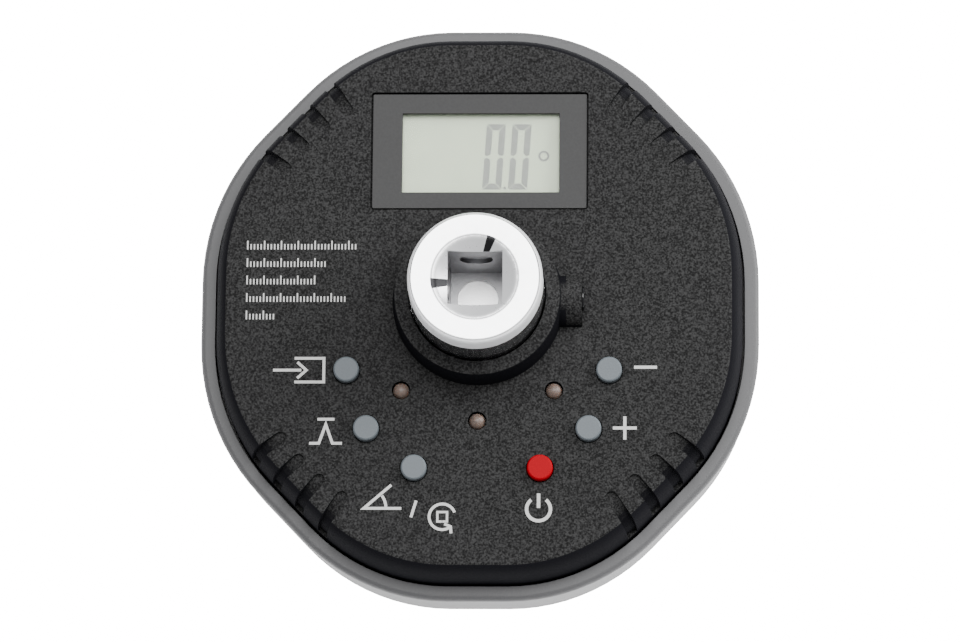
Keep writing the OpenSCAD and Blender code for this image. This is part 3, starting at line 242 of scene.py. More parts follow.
def satin_chrome():
    """Chromed steel, bright outside. Painted highlight: a pale band under the head's edge, and
    half as much on the mouth's cone, where the plating is made less metallic and rougher so that
    it shows white as a reflection would. Painted dark reflections: fine dark lines at the edges
    and two dark streaks across the mouth's cone. The broached square inside is darker and duller,
    and the drilled floor below it glitters."""
    material, tree, shader = new_finish("satin_chromed_steel", Metallic=1.0)
    place = add_node(tree, "ShaderNodeTexCoord")
    height = add_node(tree, "ShaderNodeSeparateXYZ", {"Vector": place.outputs["Object"]})
    flat_place = add_node(
        tree, "ShaderNodeMapping", {"Vector": place.outputs["Object"], "Scale": (1, 1, 0)}
    )
    reach = add_node(
        tree, "ShaderNodeVectorMath", {0: flat_place.outputs["Vector"]}, operation="LENGTH"
    )
    near = add_node(
        tree, "ShaderNodeMath", {0: reach.outputs["Value"], 1: MOUTH_R}, operation="LESS_THAN"
    )
    below = add_node(
        tree, "ShaderNodeMath", {0: height.outputs["Z"], 1: CONE_END}, operation="LESS_THAN"
    )
    broached = add_node(
        tree, "ShaderNodeMath", {0: near.outputs["Value"], 1: below.outputs["Value"]},
        operation="MULTIPLY",
    )
    drilled = add_node(
        tree, "ShaderNodeMath", {0: height.outputs["Z"], 1: SQUARE_FLOOR}, operation="LESS_THAN"
    )
    cone = add_node(
        tree, "ShaderNodeMath", {0: near.outputs["Value"], 1: broached.outputs["Value"]},
        operation="SUBTRACT",
    )
    # Painted highlight: the head's side above BAND_END, and half as much the mouth's cone, lose
    # metal and gain roughness so that they show white as a reflection would
    outside = add_node(
        tree, "ShaderNodeMath", {0: reach.outputs["Value"], 1: HEAD_SIDE}, operation="GREATER_THAN"
    )
    above = add_node(
        tree, "ShaderNodeMath", {0: height.outputs["Z"], 1: BAND_END}, operation="GREATER_THAN"
    )
    half_cone = add_node(
        tree, "ShaderNodeMath", {0: cone.outputs["Value"], 1: 0.5}, operation="MULTIPLY"
    )
    painted_pale_band_and_cone = add_node(
        tree, "ShaderNodeMath",
        {0: outside.outputs["Value"], 1: above.outputs["Value"], 2: half_cone.outputs["Value"]},
        operation="MULTIPLY_ADD",
    )
    turn = add_node(
        tree, "ShaderNodeMath", {0: height.outputs["Y"], 1: height.outputs["X"]},
        operation="ARCTAN2",
    )
    # Two painted dark reflections, as streaks round the cone
    far_streak = add_node(
        tree, "ShaderNodeMath",
        {0: turn.outputs["Value"], 1: FAR_STREAK[0], 2: FAR_STREAK[1]}, operation="COMPARE",
    )
    left_streak = add_node(
        tree, "ShaderNodeMath",
        {0: turn.outputs["Value"], 1: LEFT_STREAK[0], 2: LEFT_STREAK[1]}, operation="COMPARE",
    )
    streaks = add_node(
        tree, "ShaderNodeMath", {0: far_streak.outputs["Value"], 1: left_streak.outputs["Value"]},
        operation="ADD",
    )
    # Painted dark lines at the mouth's edge and at the head's outer edge
    mouth_line = add_node(
        tree, "ShaderNodeMath",
        {0: reach.outputs["Value"], 1: MOUTH_LINE[0], 2: MOUTH_LINE[1]}, operation="COMPARE",
    )
    edge_line = add_node(
        tree, "ShaderNodeMath",
        {0: reach.outputs["Value"], 1: EDGE_LINE[0], 2: EDGE_LINE[1]}, operation="COMPARE",
    )
    lines = add_node(
        tree, "ShaderNodeMath", {0: mouth_line.outputs["Value"], 1: edge_line.outputs["Value"]},
        operation="ADD",
    )
    line_share = add_node(
        tree, "ShaderNodeMapRange",
        {"Value": below.outputs["Value"], "To Min": LINE_STRENGTH, "To Max": 0.0},
    )
    faint_lines = add_node(
        tree, "ShaderNodeMath", {0: lines.outputs["Value"], 1: line_share.outputs["Result"]},
        operation="MULTIPLY",
    )
    # Painted dark reflections: the streaks on the cone and the fine lines at the edges darken the
    # plated colour
    marks = add_node(
        tree, "ShaderNodeMath",
        {0: streaks.outputs["Value"], 1: cone.outputs["Value"], 2: faint_lines.outputs["Value"]},
        operation="MULTIPLY_ADD", use_clamp=True,
    )
    plate_color = add_node(
        tree, "ShaderNodeMix",
        {0: marks.outputs["Value"], 6: linear("E8E9EA"), 7: linear("1C1C1E")}, data_type="RGBA",
    )
    metal = add_node(
        tree, "ShaderNodeMapRange",
        {"Value": painted_pale_band_and_cone.outputs["Value"], "To Min": 1.0, "To Max": 0.35},
    )
    blotch = add_node(
        tree, "ShaderNodeTexNoise",
        {"Vector": place.outputs["Object"], "Scale": 1 / (1.2 * MM), "Detail": 2.0},
    )
    plated = add_node(
        tree, "ShaderNodeMapRange",
        {"Value": blotch.outputs["Fac"], "From Min": 0.3, "From Max": 0.7,
         "To Min": 0.14, "To Max": 0.22},
    )
    skin = add_node(
        tree, "ShaderNodeMapRange",
        {"Value": painted_pale_band_and_cone.outputs["Value"], "To Min": plated.outputs["Result"], "To Max": 0.4},
    )
    cut_wall = add_node(
        tree, "ShaderNodeMix",
        {0: drilled.outputs["Value"], 6: linear("A8A8AA"), 7: linear("FFFFFF")},
        data_type="RGBA",
    )
    color = add_node(
        tree, "ShaderNodeMix",
        {0: broached.outputs["Value"], 6: plate_color.outputs[2], 7: cut_wall.outputs[2]},
        data_type="RGBA",
    )
    rough = add_node(
        tree, "ShaderNodeMapRange",
        {"Value": broached.outputs["Value"], "To Min": skin.outputs["Result"], "To Max": 0.42},
    )
    speckle = add_node(
        tree, "ShaderNodeTexNoise",
        {"Vector": place.outputs["Object"], "Scale": 1 / (0.35 * MM), "Detail": 3.0},
    )
    depth = add_node(
        tree, "ShaderNodeMapRange",
        {"Value": broached.outputs["Value"], "To Min": 0.0005 * MM, "To Max": 0.03 * MM},
    )
    bump = add_node(
        tree, "ShaderNodeBump",
        {"Height": speckle.outputs["Fac"], "Distance": depth.outputs["Result"]},
    )
    tree.links.new(color.outputs[2], shader.inputs["Base Color"])
    tree.links.new(metal.outputs["Result"], shader.inputs["Metallic"])
    tree.links.new(rough.outputs["Result"], shader.inputs["Roughness"])
    tree.links.new(bump.outputs["Normal"], shader.inputs["Normal"])
    return material


def shrink_sleeve(settings):
    """A cell's gloss sleeve between bare nickel ends, which show where the film stops."""
    material, tree, shader = new_finish("cell_shrink_sleeve", Roughness=0.22)
    place = add_node(tree, "ShaderNodeTexCoord")
    along = add_node(tree, "ShaderNodeSeparateXYZ", {"Vector": place.outputs["Object"]})
    from_middle = add_node(
        tree, "ShaderNodeMath", {0: along.outputs["X"]}, operation="ABSOLUTE"
    )
    bare = add_node(
        tree, "ShaderNodeMath",
        {0: from_middle.outputs["Value"], 1: settings.sleeve_half}, operation="GREATER_THAN",
    )
    wrinkles = add_node(
        tree, "ShaderNodeTexNoise",
        {"Vector": place.outputs["Object"], "Scale": 1 / (3 * MM), "Detail": 2.0},
    )
    color = add_node(
        tree, "ShaderNodeMix",
        {0: bare.outputs["Value"], 6: settings.sleeve_color, 7: linear("B9B7B0")},
        data_type="RGBA",
    )
    bump = add_node(
        tree, "ShaderNodeBump", {"Height": wrinkles.outputs["Fac"], "Distance": 0.04 * MM}
    )
    tree.links.new(color.outputs[2], shader.inputs["Base Color"])
    tree.links.new(bare.outputs["Value"], shader.inputs["Metallic"])
    tree.links.new(bump.outputs["Normal"], shader.inputs["Normal"])
    return material


def resist_over_copper():
    """Green solder resist: copper tracks below it show as lighter, slightly raised lanes."""
    material, tree, shader = new_finish("green_solder_resist", Roughness=0.25)
    place = add_node(tree, "ShaderNodeTexCoord")
    cells = add_node(
        tree, "ShaderNodeTexVoronoi",
        {"Vector": place.outputs["Object"], "Scale": 1 / (3.2 * MM)},
        feature="DISTANCE_TO_EDGE", distance="MANHATTAN",
    )
    lane = add_node(
        tree, "ShaderNodeMapRange",
        {"Value": cells.outputs["Distance"], "From Min": 0.05, "From Max": 0.09,
         "To Min": 1.0, "To Max": 0.0},
    )
    color = add_node(
        tree, "ShaderNodeMix",
        {0: lane.outputs["Result"], 6: linear("0F4A27"), 7: linear("1F7540")}, data_type="RGBA",
    )
    bump = add_node(
        tree, "ShaderNodeBump", {"Height": lane.outputs["Result"], "Distance": 0.02 * MM}
    )
    tree.links.new(color.outputs[2], shader.inputs["Base Color"])
    tree.links.new(bump.outputs["Normal"], shader.inputs["Normal"])
    return material


def lined_foil():
    """Amber film with bright copper lines running its length."""
    material, tree, shader = new_finish("lined_polyimide", Roughness=0.25)
    place = add_node(tree, "ShaderNodeTexCoord")
    lines = add_node(
        tree, "ShaderNodeTexWave", {"Vector": place.outputs["Object"], "Scale": 300.0},
        bands_direction="X",
    )
    copper = add_node(
        tree, "ShaderNodeMapRange",
        {"Value": lines.outputs["Fac"], "From Min": 0.45, "From Max": 0.55},
    )
    color = add_node(
        tree, "ShaderNodeMix",
        {0: copper.outputs["Result"], 6: linear("8A4A10"), 7: linear("D08A3C")}, data_type="RGBA",
    )
    tree.links.new(color.outputs[2], shader.inputs["Base Color"])
    return material


def shot_floor(settings):
    """Matt paper on a light table: so bright that only the object's soft shadow breaks it, and
    to the camera brighter still, as paper burnt out in the photograph."""
    material, tree, shader = new_finish(
        "backlit_paper", Roughness=0.9, Emission_Color=linear("FFFFFF")
    )
    ray = add_node(tree, "ShaderNodeLightPath")
    glow = add_node(
        tree, "ShaderNodeMapRange",
        {"Value": ray.outputs["Is Camera Ray"], "To Min": settings.floor_glow,
         "To Max": BURNT_OUT * settings.floor_glow},
    )
    tree.links.new(glow.outputs["Result"], shader.inputs["Emission Strength"])
    place = add_node(tree, "ShaderNodeTexCoord")
    cloud = add_node(
        tree, "ShaderNodeTexNoise", {"Vector": place.outputs["Object"], "Scale": 1 / (60 * MM)}
    )
    warm = tuple(c * 0.98 for c in settings.floor_color[:3]) + (1.0,)
    color = add_node(
        tree, "ShaderNodeMix",
        {0: cloud.outputs["Fac"], 6: warm, 7: settings.floor_color}, data_type="RGBA",
    )
    tree.links.new(color.outputs[2], shader.inputs["Base Color"])
    return material


def give(material, *names):
    """Assigns a material to the shown pieces or CAD nodes of these names."""
    for name in names:
        piece = bpy.data.objects[name]
        piece.data.materials.clear()
        piece.data.materials.append(material)


def add_piece(name, bm, material, body=HOUSING):
    """A finished mesh as a named piece that rides on a body."""
    mesh = bpy.data.meshes.new(name)
    bm.to_mesh(mesh)
    bm.free()
    piece = bpy.data.objects.new(name, mesh)
    bpy.context.scene.collection.objects.link(piece)
    mesh.materials.append(material)
    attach(piece, body)
    return piece


def dress(node, material, body=HOUSING, edge=0.12 * MM, sharp=32):
    """A merged copy of a CAD node in its place, its shading smooth and its sharp edges rounded
    by edge, where edge isn't nought."""
    bm = bmesh.new()
    bm.from_mesh(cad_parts[node].data)
    bmesh.ops.remove_doubles(bm, verts=bm.verts, dist=NODE_MERGE)
    limit = math.radians(sharp)
    if edge:
        bmesh.ops.dissolve_limit(
            bm, angle_limit=math.radians(0.3), verts=bm.verts, edges=bm.edges
        )
        edges = [e for e in bm.edges if len(e.link_faces) == 2 and e.calc_face_angle() > limit]
        bmesh.ops.bevel(
            bm, geom=edges, offset=edge, offset_type="OFFSET", segments=2, profile=0.5,
            affect="EDGES", clamp_overlap=False, material=-1,
        )
    for face in bm.faces:
        face.smooth = True
    for line in bm.edges:
        line.smooth = len(line.link_faces) == 2 and line.calc_face_angle() <= limit
    piece = add_piece(node + "_dressed", bm, material, body)
    weights = piece.modifiers.new("even_shading", "WEIGHTED_NORMAL")
    weights.keep_sharp = True
    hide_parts(node)
    return piece


# Printing and display marks

PRINT_LOW = FACE_Z + 0.005 * MM
PRINT_HIGH = FACE_Z + 0.035 * MM
# Round strokes lie a little higher, so that no two flat tops share a level where they cross
ROUND_HIGH = PRINT_HIGH + 0.003 * MM


def plate(bm, outline, low, high):
    """A thin flat solid on a closed outline."""
    face = bm.faces.new([bm.verts.new((x, y, low)) for x, y in outline])
    raised = bmesh.ops.extrude_face_region(bm, geom=[face])
    moved = [v for v in raised["geom"] if isinstance(v, bmesh.types.BMVert)]
    bmesh.ops.translate(bm, verts=moved, vec=(0, 0, high - low))


def stroke(bm, points, width, low=PRINT_LOW, high=PRINT_HIGH):
    """A line of even width through points, in millimetres, with its corners mitred."""
    spots = [Vector(p) * MM for p in points]
    sides = []
    for index, spot in enumerate(spots):
        before = spots[max(index - 1, 0)]
        after = spots[min(index + 1, len(spots) - 1)]
        into = (spot - before if index else after - spot).normalized()
        out = (after - spot if after != spot else into).normalized()
        across = Vector((-into.y - out.y, into.x + out.x)).normalized()
        sides.append(across * width * MM / 2 / across.dot(Vector((-into.y, into.x))))
    left = [spot + side for spot, side in zip(spots, sides)]
    right = [spot - side for spot, side in zip(spots, sides)]
    plate(bm, right + left[::-1], low, high)


def arc(bm, centre, radius, width, first, sweep, low=PRINT_LOW, high=ROUND_HIGH):
    """A round stroke about centre, in millimetres and degrees, spun from its cross-section."""
    middle = Vector((centre[0] * MM, centre[1] * MM, 0))
    turn = math.radians(first)
    out = Vector((math.cos(turn), math.sin(turn), 0))
    near, far = (radius - width / 2) * MM, (radius + width / 2) * MM
    loop = [
        bm.verts.new(middle + out * reach + Vector((0, 0, level)))
        for reach, level in ((near, low), (far, low), (far, high), (near, high))
    ]
    section = loop + [bm.edges.new((loop[i], loop[i - 1])) for i in range(4)]
    if sweep < 360:
        section.append(bm.faces.new(loop))
    bmesh.ops.spin(
        bm, geom=section, cent=middle, axis=(0, 0, 1), dvec=(0, 0, 0),
        angle=math.radians(sweep), steps=max(8, int(sweep / 9)), use_merge=sweep == 360,
    )


def closed(bm):
    """Faces outward on every closed stroke."""
    bmesh.ops.remove_doubles(bm, verts=bm.verts, dist=MARK_MERGE)
    bmesh.ops.recalc_face_normals(bm, faces=bm.faces)
    return bm


def segment(bm, points, low, high, slant, origin):
    """One display segment from points in the digit's own upright frame."""
    outline = [
        ((origin[0] + x + slant * y) * MM, (origin[1] + y) * MM) for x, y in points
    ]
    plate(bm, outline, low, high)


def digit_zero(bm, origin, width, height, thick, slant, low, high):
    """A nought of six segments with mitred ends and small gaps, in millimetres."""
    gap = 0.1
    half = height / 2
    for base, flip in ((0, 1), (height, -1)):
        segment(bm, [
            (gap, base), (width - gap, base),
            (width - thick - gap, base + flip * thick), (thick + gap, base + flip * thick),
        ][::flip], low, high, slant, origin)
        for edge, turn in ((0, 1), (width, -1)):
            segment(bm, [
                (edge, base + flip * gap), (edge + turn * thick, base + flip * (thick + gap)),
                (edge + turn * thick, base + flip * (half - thick / 2 - gap)),
                (edge + turn * thick / 2, base + flip * (half - gap)),
                (edge, base + flip * (half - gap - thick / 4)),
            ][::flip * turn], low, high, slant, origin)


class HousingSettings(bpy.types.PropertyGroup):
    """Texture and colours of the front cover and rear shell"""
    grain_size: FloatProperty(
        name="Grain size", description="Width of one pit of the spark texture",
        default=0.32 * MM, min=0.05 * MM, max=2 * MM, precision=5, unit="LENGTH",
    )
    grain_depth: FloatProperty(
        name="Grain depth", description="Depth of the spark texture",
        default=0.06 * MM, min=0.0, max=0.5 * MM, precision=5, unit="LENGTH",
    )
    pit_color: FloatVectorProperty(
        name="Pit colour", description="Colour in the texture's pits",
        subtype="COLOR", size=4, min=0, max=1, default=linear("0C0C0C"),
    )
    peak_color: FloatVectorProperty(
        name="Peak colour", description="Colour on the texture's peaks",
        subtype="COLOR", size=4, min=0, max=1, default=linear("343434"),
    )
    smooth_color: FloatVectorProperty(
        name="Smooth colour", description="Colour of the polished shoulder and walls",
        subtype="COLOR", size=4, min=0, max=1, default=linear("131316"),
    )
    shell_color: FloatVectorProperty(
        name="Shell colour", description="Colour of the rear shell and its door",
        subtype="COLOR", size=4, min=0, max=1, default=linear("545455"),
    )


class ControlSettings(bpy.types.PropertyGroup):
    """Colours of the buttons and lamps"""
    key_color: FloatVectorProperty(
        name="Key colour", description="Colour of the five grey buttons",
        subtype="COLOR", size=4, min=0, max=1, default=linear("5C6266"),
    )
    power_color: FloatVectorProperty(
        name="Power colour", description="Colour of the power button",
        subtype="COLOR", size=4, min=0, max=1, default=linear("960013"),
    )
    lamp_color: FloatVectorProperty(
        name="Lamp colour", description="Tint of the unlit lamps",
        subtype="COLOR", size=4, min=0, max=1, default=linear("60524A"),
    )


class DisplaySettings(bpy.types.PropertyGroup):
    """Colours and digit height of the display"""
    panel_color: FloatVectorProperty(
        name="Panel colour", description="Colour of the panel's reflector",
        subtype="COLOR", size=4, min=0, max=1, default=linear("BCCAAC"),
    )
    digit_color: FloatVectorProperty(
        name="Digit colour", description="Colour of a dark segment",
        subtype="COLOR", size=4, min=0, max=1, default=linear("70756C"),
    )
    digit_height: FloatProperty(
        name="Digit height", description="Height of a digit",
        default=12.1 * MM, min=2 * MM, max=14 * MM, precision=4, unit="LENGTH",
    )


class InsideSettings(bpy.types.PropertyGroup):
    """Colour and reach of the cells' sleeves"""
    sleeve_color: FloatVectorProperty(
        name="Sleeve colour", description="Colour of the cells' shrink sleeves",
        subtype="COLOR", size=4, min=0, max=1, default=linear("2A4E8C"),
    )
    sleeve_half: FloatProperty(
        name="Sleeve reach", description="Reach of the sleeves to each side of the axis",
        default=20.6 * MM, min=15 * MM, max=25 * MM, precision=4, unit="LENGTH",
    )


class PrintSettings(bpy.types.PropertyGroup):
    """Colour and line width of the printed marks"""
    ink_color: FloatVectorProperty(
        name="Ink colour", description="Colour of the printed marks",
        subtype="COLOR", size=4, min=0, max=1, default=linear("C0C0BE"),
    )
    line_width: FloatProperty(
        name="Line width", description="Width of the lines in the marks beside the buttons",
        default=0.5 * MM, min=0.1 * MM, max=1 * MM, precision=4, unit="LENGTH",
    )


class StageSettings(bpy.types.PropertyGroup):
    """Colour and strength of the floor and lights"""
    floor_color: FloatVectorProperty(
        name="Floor colour", description="Colour of the floor",
        subtype="COLOR", size=4, min=0, max=1, default=linear("FAFAFA"),
    )
    floor_glow: FloatProperty(
        name="Floor glow", description="Strength of the light that comes through the floor",
        default=2.0, min=0.0, max=12.0,
    )
    top_power: FloatProperty(
        name="Top light", description="Power of the large softbox overhead",
        default=21.0, min=0.0, max=200.0, unit="POWER",
    )
    side_power: FloatProperty(
        name="Side light", description="Power of the softbox at the right",
        default=17.0, min=0.0, max=200.0, unit="POWER",
    )
    world_light: FloatProperty(
        name="Room light", description="Strength of the even light all round",
        default=0.68, min=0.0, max=5.0,
    )


class ADAPTER_OT_housing(bpy.types.Operator):
    """Finish the front cover, rear shell, gasket, screws and battery door"""
    bl_idname = "adapter.housing"
    bl_label = "Housing"

    def door_arrow(self, grey):
        """A moulded arrow on the battery door that points the way it slides open."""
        tail, tip, wing, shaft = (0, -18.5), (0, -24.5), 2.6, 0.9
        overlap = 0.01
        bm = bmesh.new()
        low, high = BACK_Z - 0.25 * MM, BACK_Z + 0.05 * MM
        stroke(bm, [tail, (0, tip[1] + wing)], shaft, low, high)
        barb = tip[1] + wing + overlap
        plate(bm, [Vector(p) * MM for p in ((-wing, barb), tip, (wing, barb))], low, high)
        add_piece("door_arrow", closed(bm), grey, "door_body")

    def execute(self, context):
        settings = context.scene.adapter_housing
        black = spark_textured_abs(settings)
        # Satin moulded ABS: a grey that stays even, with a very fine grain in its shine
        grey = moulded(
            "satin_grey_abs", settings.shell_color, 0.45, 0.2 * MM, 0.006 * MM, 0.05,
            Specular_IOR_Level=0.3,
        )
        # Silicone rubber: dull and nearly black, so that the seam reads as a dark line
        rubber = moulded("silicone_rubber", linear("101012"), 0.7, mottle=0.1)
        # Zinc-nickel plated steel: dull dark metal
        plated = worked_metal("zinc_nickel_steel", linear("6C6C70"), 0.42, 0.3 * MM, 0.004 * MM)
        dress("front_cover", black, edge=0)
        dress("rear_shell", grey)
        dress("battery_door", grey, "door_body", edge=0.1 * MM)
        give(rubber, "shell_gasket")
        dress("housing_screws", plated, edge=0.1 * MM)
        self.door_arrow(grey)
        return {"FINISHED"}


class ADAPTER_OT_drive(bpy.types.Operator):
    """Finish the drive spindle with its ball, bearings, seals and clamp screw"""
    bl_idname = "adapter.drive"
    bl_label = "Drive"

    def execute(self, context):
        chrome = satin_chrome()
        # Polished bearing steel: a small sharp reflection
        ball = worked_metal("polished_ball_steel", linear("C4C4C8"), 0.1, 0.5 * MM, 0.0)
        # Drawn spring wire: grey and faintly lined
        wire = worked_metal("drawn_spring_wire", linear("8C8C90"), 0.3, 0.1 * MM, 0.002 * MM)
        # Nitrile rubber: black with a low sheen
        nitrile = moulded("nitrile_rubber", linear("0E0E0F"), 0.5)
        # Acetal: a clean milky white with a waxy sheen
        acetal = moulded("turned_acetal", linear("E6E4DC"), 0.35, mottle=0.03)
        # Stamped steel: dull grey with rolling marks
        stamped = worked_metal(
            "stamped_washer_steel", linear("9C9CA0"), 0.35, 0.4 * MM, 0.004 * MM, (1, 6, 1)
        )
        # Phosphated spring steel: nearly black and dull
        phosphated = worked_metal(
            "phosphated_spring_steel", linear("2C2C30"), 0.5, 0.15 * MM, 0.01 * MM
        )
        # Gloss moulded cap: black with a clear highlight
        gloss = moulded("gloss_black_abs", linear("0B0B0D"), 0.14, 2 * MM, 0.0, 0.05)
        dress("drive_spindle", chrome, edge=0)
        give(ball, "detent_ball")
        # The ball squeezes its spring against the end of their hole
        spring = dress("detent_spring", wire, edge=0)
        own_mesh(spring)
        give(nitrile, "front_seal")
        give(acetal, "rear_bush")
        give(stamped, "rear_washer")
        dress("retaining_ring", phosphated, edge=0.08 * MM)
        dress("clamp_screw", phosphated, edge=0.08 * MM)
        dress("lug_cap", gloss, edge=0.12 * MM)
        return {"FINISHED"}


class ADAPTER_OT_display(bpy.types.Operator):
    """Finish the display and show a plain reading of nought"""
    bl_idname = "adapter.display"
    bl_label = "Display"

    def execute(self, context):
        settings = context.scene.adapter_display
        # Printed polycarbonate frame: an even mid-grey with a soft sheen
        frame_grey = moulded(
            "printed_bezel_grey", linear("3C3C3C"), 0.5, 0.4 * MM, 0.004 * MM, 0.04,
            Specular_IOR_Level=0.1,
        )
        # Hard-coated acrylic: all but invisible apart from its gloss
        window = moulded(
            "hard_coated_acrylic", linear("F4F8F4"), 0.05, 5 * MM, 0.0, 0.01, Alpha=0.05, IOR=1.49
        )
        # Reflective twisted-nematic panel: grey-green and softly matt
        panel = moulded("reflective_panel", settings.panel_color, 0.4, 3 * MM, 0.0, 0.03)
        # Dark segments of the panel, only a little darker than it
        dark = moulded("panel_segments", settings.digit_color, 0.4, 3 * MM, 0.0, 0.02)
        # Moulded holder: dull off-white
        white = moulded("holder_white_abs", linear("D8D6CE"), 0.55, mottle=0.03)
        # Layered silicone strips: soft pink
        pink = moulded("zebra_silicone", linear("C08890"), 0.6, 0.1 * MM, 0.0, 0.25)
        dress("display_bezel", frame_grey, edge=0.08 * MM)
        give(window, "display_window")
        give(panel, "lcd_panel")
        give(white, "lcd_holder")
        give(pink, "contact_strips")
        # Two noughts with a point between them and a degree ring, in millimetres
        foot, width, thick, slant = 21.12, 3.42, 1.12, 0.064
        height = settings.digit_height / MM
        point, dot = Vector((4.2, 21.15)), ((0, 0), (0.5, 0), (0.53, 0.5), (0.03, 0.5))
        ring, ring_r, ring_width = (11.4, 27.3), 0.8, 0.4
        low, high = PANEL_TOP + 0.005 * MM, PANEL_TOP + 0.02 * MM
        bm = bmesh.new()
        for left in (0.42, 5.02):
            digit_zero(bm, (left, foot), width, height, thick, slant, low, high)
        plate(bm, [(point + Vector(corner)) * MM for corner in dot], low, high)
        arc(bm, ring, ring_r, ring_width, 0, 360, low, high)
        add_piece("display_digits", closed(bm), dark)
        return {"FINISHED"}


class ADAPTER_OT_controls(bpy.types.Operator):
    """Finish the buttons, their switches and the indicator lamps"""
    bl_idname = "adapter.controls"
    bl_label = "Controls"

    def execute(self, context):
        settings = context.scene.adapter_controls
        # Moulded keys: a cool grey with a soft sheen
        grey = moulded(
            "moulded_key_grey", settings.key_color, 0.42, 0.3 * MM, 0.004 * MM, 0.04,
            Specular_IOR_Level=0.2,
        )
        # The power key: the same moulding in a strong red
        red = moulded(
            "moulded_key_red", settings.power_color, 0.5, 0.3 * MM, 0.004 * MM, 0.04,
            Specular_IOR_Level=0.05,
        )
        # Nylon plungers: dull black
        nylon = moulded("nylon_plunger", linear("1A1A1A"), 0.5)
        # Stamped switch covers: thin bright steel
        cover = worked_metal("stamped_switch_cover", linear("A8A8AA"), 0.3, 0.3 * MM, 0.003 * MM)
        # Diffused epoxy: milky peach that light sinks into
        epoxy = moulded(
            "diffused_epoxy", settings.lamp_color, 0.45, 0.6 * MM, 0.0, 0.15,
            Subsurface_Weight=0.4, Subsurface_Radius=(1.0, 0.6, 0.4), Subsurface_Scale=0.8 * MM,
        )
        # Tinned wire: soft bright grey
        tinned = worked_metal("tinned_wire", linear("B8B8BA"), 0.3, 0.2 * MM, 0.004 * MM)
        for key in ("memory", "peak", "angle", "plus", "minus", "power"):
            color = red if key == "power" else grey
            dress(key + "_button", color, key + "_body", edge=0.08 * MM)
            give(nylon, key + "_plunger")
        give(cover, "tact_switches")
        give(epoxy, "indicator_lamps")
        give(tinned, "lamp_leads")
        return {"FINISHED"}


class ADAPTER_OT_inside(bpy.types.Operator):
    """Finish the board, gauges, cells and contacts"""
    bl_idname = "adapter.inside"
    bl_label = "Inside"

    def execute(self, context):
        settings = context.scene.adapter_inside
        resist = resist_over_copper()
        # Moulded epoxy packages: black and dull
        epoxy = moulded("moulded_chip_epoxy", linear("1B1B1D"), 0.6, 0.15 * MM, 0.006 * MM)
        # Drawn can: bright steel with soft drawing marks
        can = worked_metal("drawn_can_steel", linear("B4B4B6"), 0.25, 0.4 * MM, 0.002 * MM)
        # Plated screws: a duller bright steel
        screw = worked_metal("plated_board_screw", linear("9A9A9C"), 0.35, 0.2 * MM, 0.003 * MM)
        # Constantan foil on film: warm and lined
        foil = worked_metal(
            "constantan_foil", linear("C79A58"), 0.3, 0.2 * MM, 0.01 * MM, (1, 8, 1)
        )
        # Anodised aluminium sleeve: even grey satin
        anodised = worked_metal("anodised_sleeve", linear("7C7C82"), 0.38, 0.3 * MM, 0.002 * MM)
        film = lined_foil()
        # Nylon connector: dull cream
        cream = moulded("cream_nylon", linear("D8CFB4"), 0.5, mottle=0.04)
        sleeve = shrink_sleeve(settings)
        # Nickel plate: warm and bright, a little worn by the cells
        nickel = worked_metal("nickel_contact", linear("C4C1B8"), 0.24, 0.5 * MM, 0.003 * MM)
        give(resist, "main_board")
        give(epoxy, "microcontroller", "motion_sensor", "bridge_amplifier", "buzzer")
        give(can, "crystal")
        give(screw, "board_screws")
        give(foil, "strain_gauges")
        give(anodised, "gauge_sleeve")
        give(film, "gauge_flex")
        give(cream, "flex_connector")
        give(sleeve, "battery_1", "battery_2")
        give(nickel, "battery_contacts", "battery_springs")
        return {"FINISHED"}


class ADAPTER_OT_printing(bpy.types.Operator):
    """Print the plain marks beside the buttons"""
    bl_idname = "adapter.printing"
    bl_label = "Printing"

    def execute(self, context):
        settings = context.scene.adapter_printing
        # Pad-printed ink: flat off-white
        ink = moulded("pad_printed_white", settings.ink_color, 0.6, 0.15 * MM, 0.0, 0.05,
                      Specular_IOR_Level=0.2)
        line = settings.line_width / MM
        for name, draw in MARKS.items():
            bm = bmesh.new()
            draw(bm, line)
            add_piece(name, closed(bm), ink)
        return {"FINISHED"}


# Marks in millimetres on the front face. They stand where the real adapter has its lettering,
# and say the same with plain pictures.

def memory_mark(bm, line):
    """An arrow into an open frame: store a reading."""
    left, right, top, bottom = -32.4, -27.2, -10.3, -14.6
    middle = (top + bottom) / 2
    stroke(bm, [(left, top), (right, top), (right, bottom), (left, bottom)], line)
    stroke(bm, [(-36.2, middle), (-31.2, middle)], line)
    stroke(bm, [(-31.9, middle + 1.45), (-30.3, middle), (-31.9, middle - 1.45)], line)


def peak_mark(bm, line):
    """A curve's peak with a bar on top: hold the highest reading."""
    foot, top, middle = -25.7, -22.3, -26.7
    stroke(bm, [(-29.6, foot), (-27.9, foot), (middle, top), (-25.5, foot), (-23.8, foot)], line)
    stroke(bm, [(middle - 1.5, top + 0.95), (middle + 1.5, top + 0.95)], line)


def mode_mark(bm, line):
    """An angle, a slash and a turning nut: change between angle and torque."""
    corner = (-19.8, -37.4)
    stroke(bm, [(-13.2, corner[1]), corner, (-15.0, -33.2)], line)
    arc(bm, corner, 3.9, line, 4, 32)
    stroke(bm, [(-11.5, -39.0), (-10.6, -36.0)], line)
    nut, half, reach = Vector((-6.0, -38.9)), 0.85, 2.3
    corners = ((0.05, -1), (1, -1), (1, 1), (-1, 1), (-1, -1), (-0.05, -1))
    stroke(bm, [nut + Vector(p) * half for p in corners], line * 0.8)
    first, sweep = 20, 290
    arc(bm, nut, reach, line, first, sweep)
    end = math.radians(first + sweep)
    tip = nut + Vector((math.cos(end), math.sin(end))) * reach
    stroke(bm, [tip + Vector((-1.1, 0.5)), tip, tip + Vector((0.1, -1.2))], line)


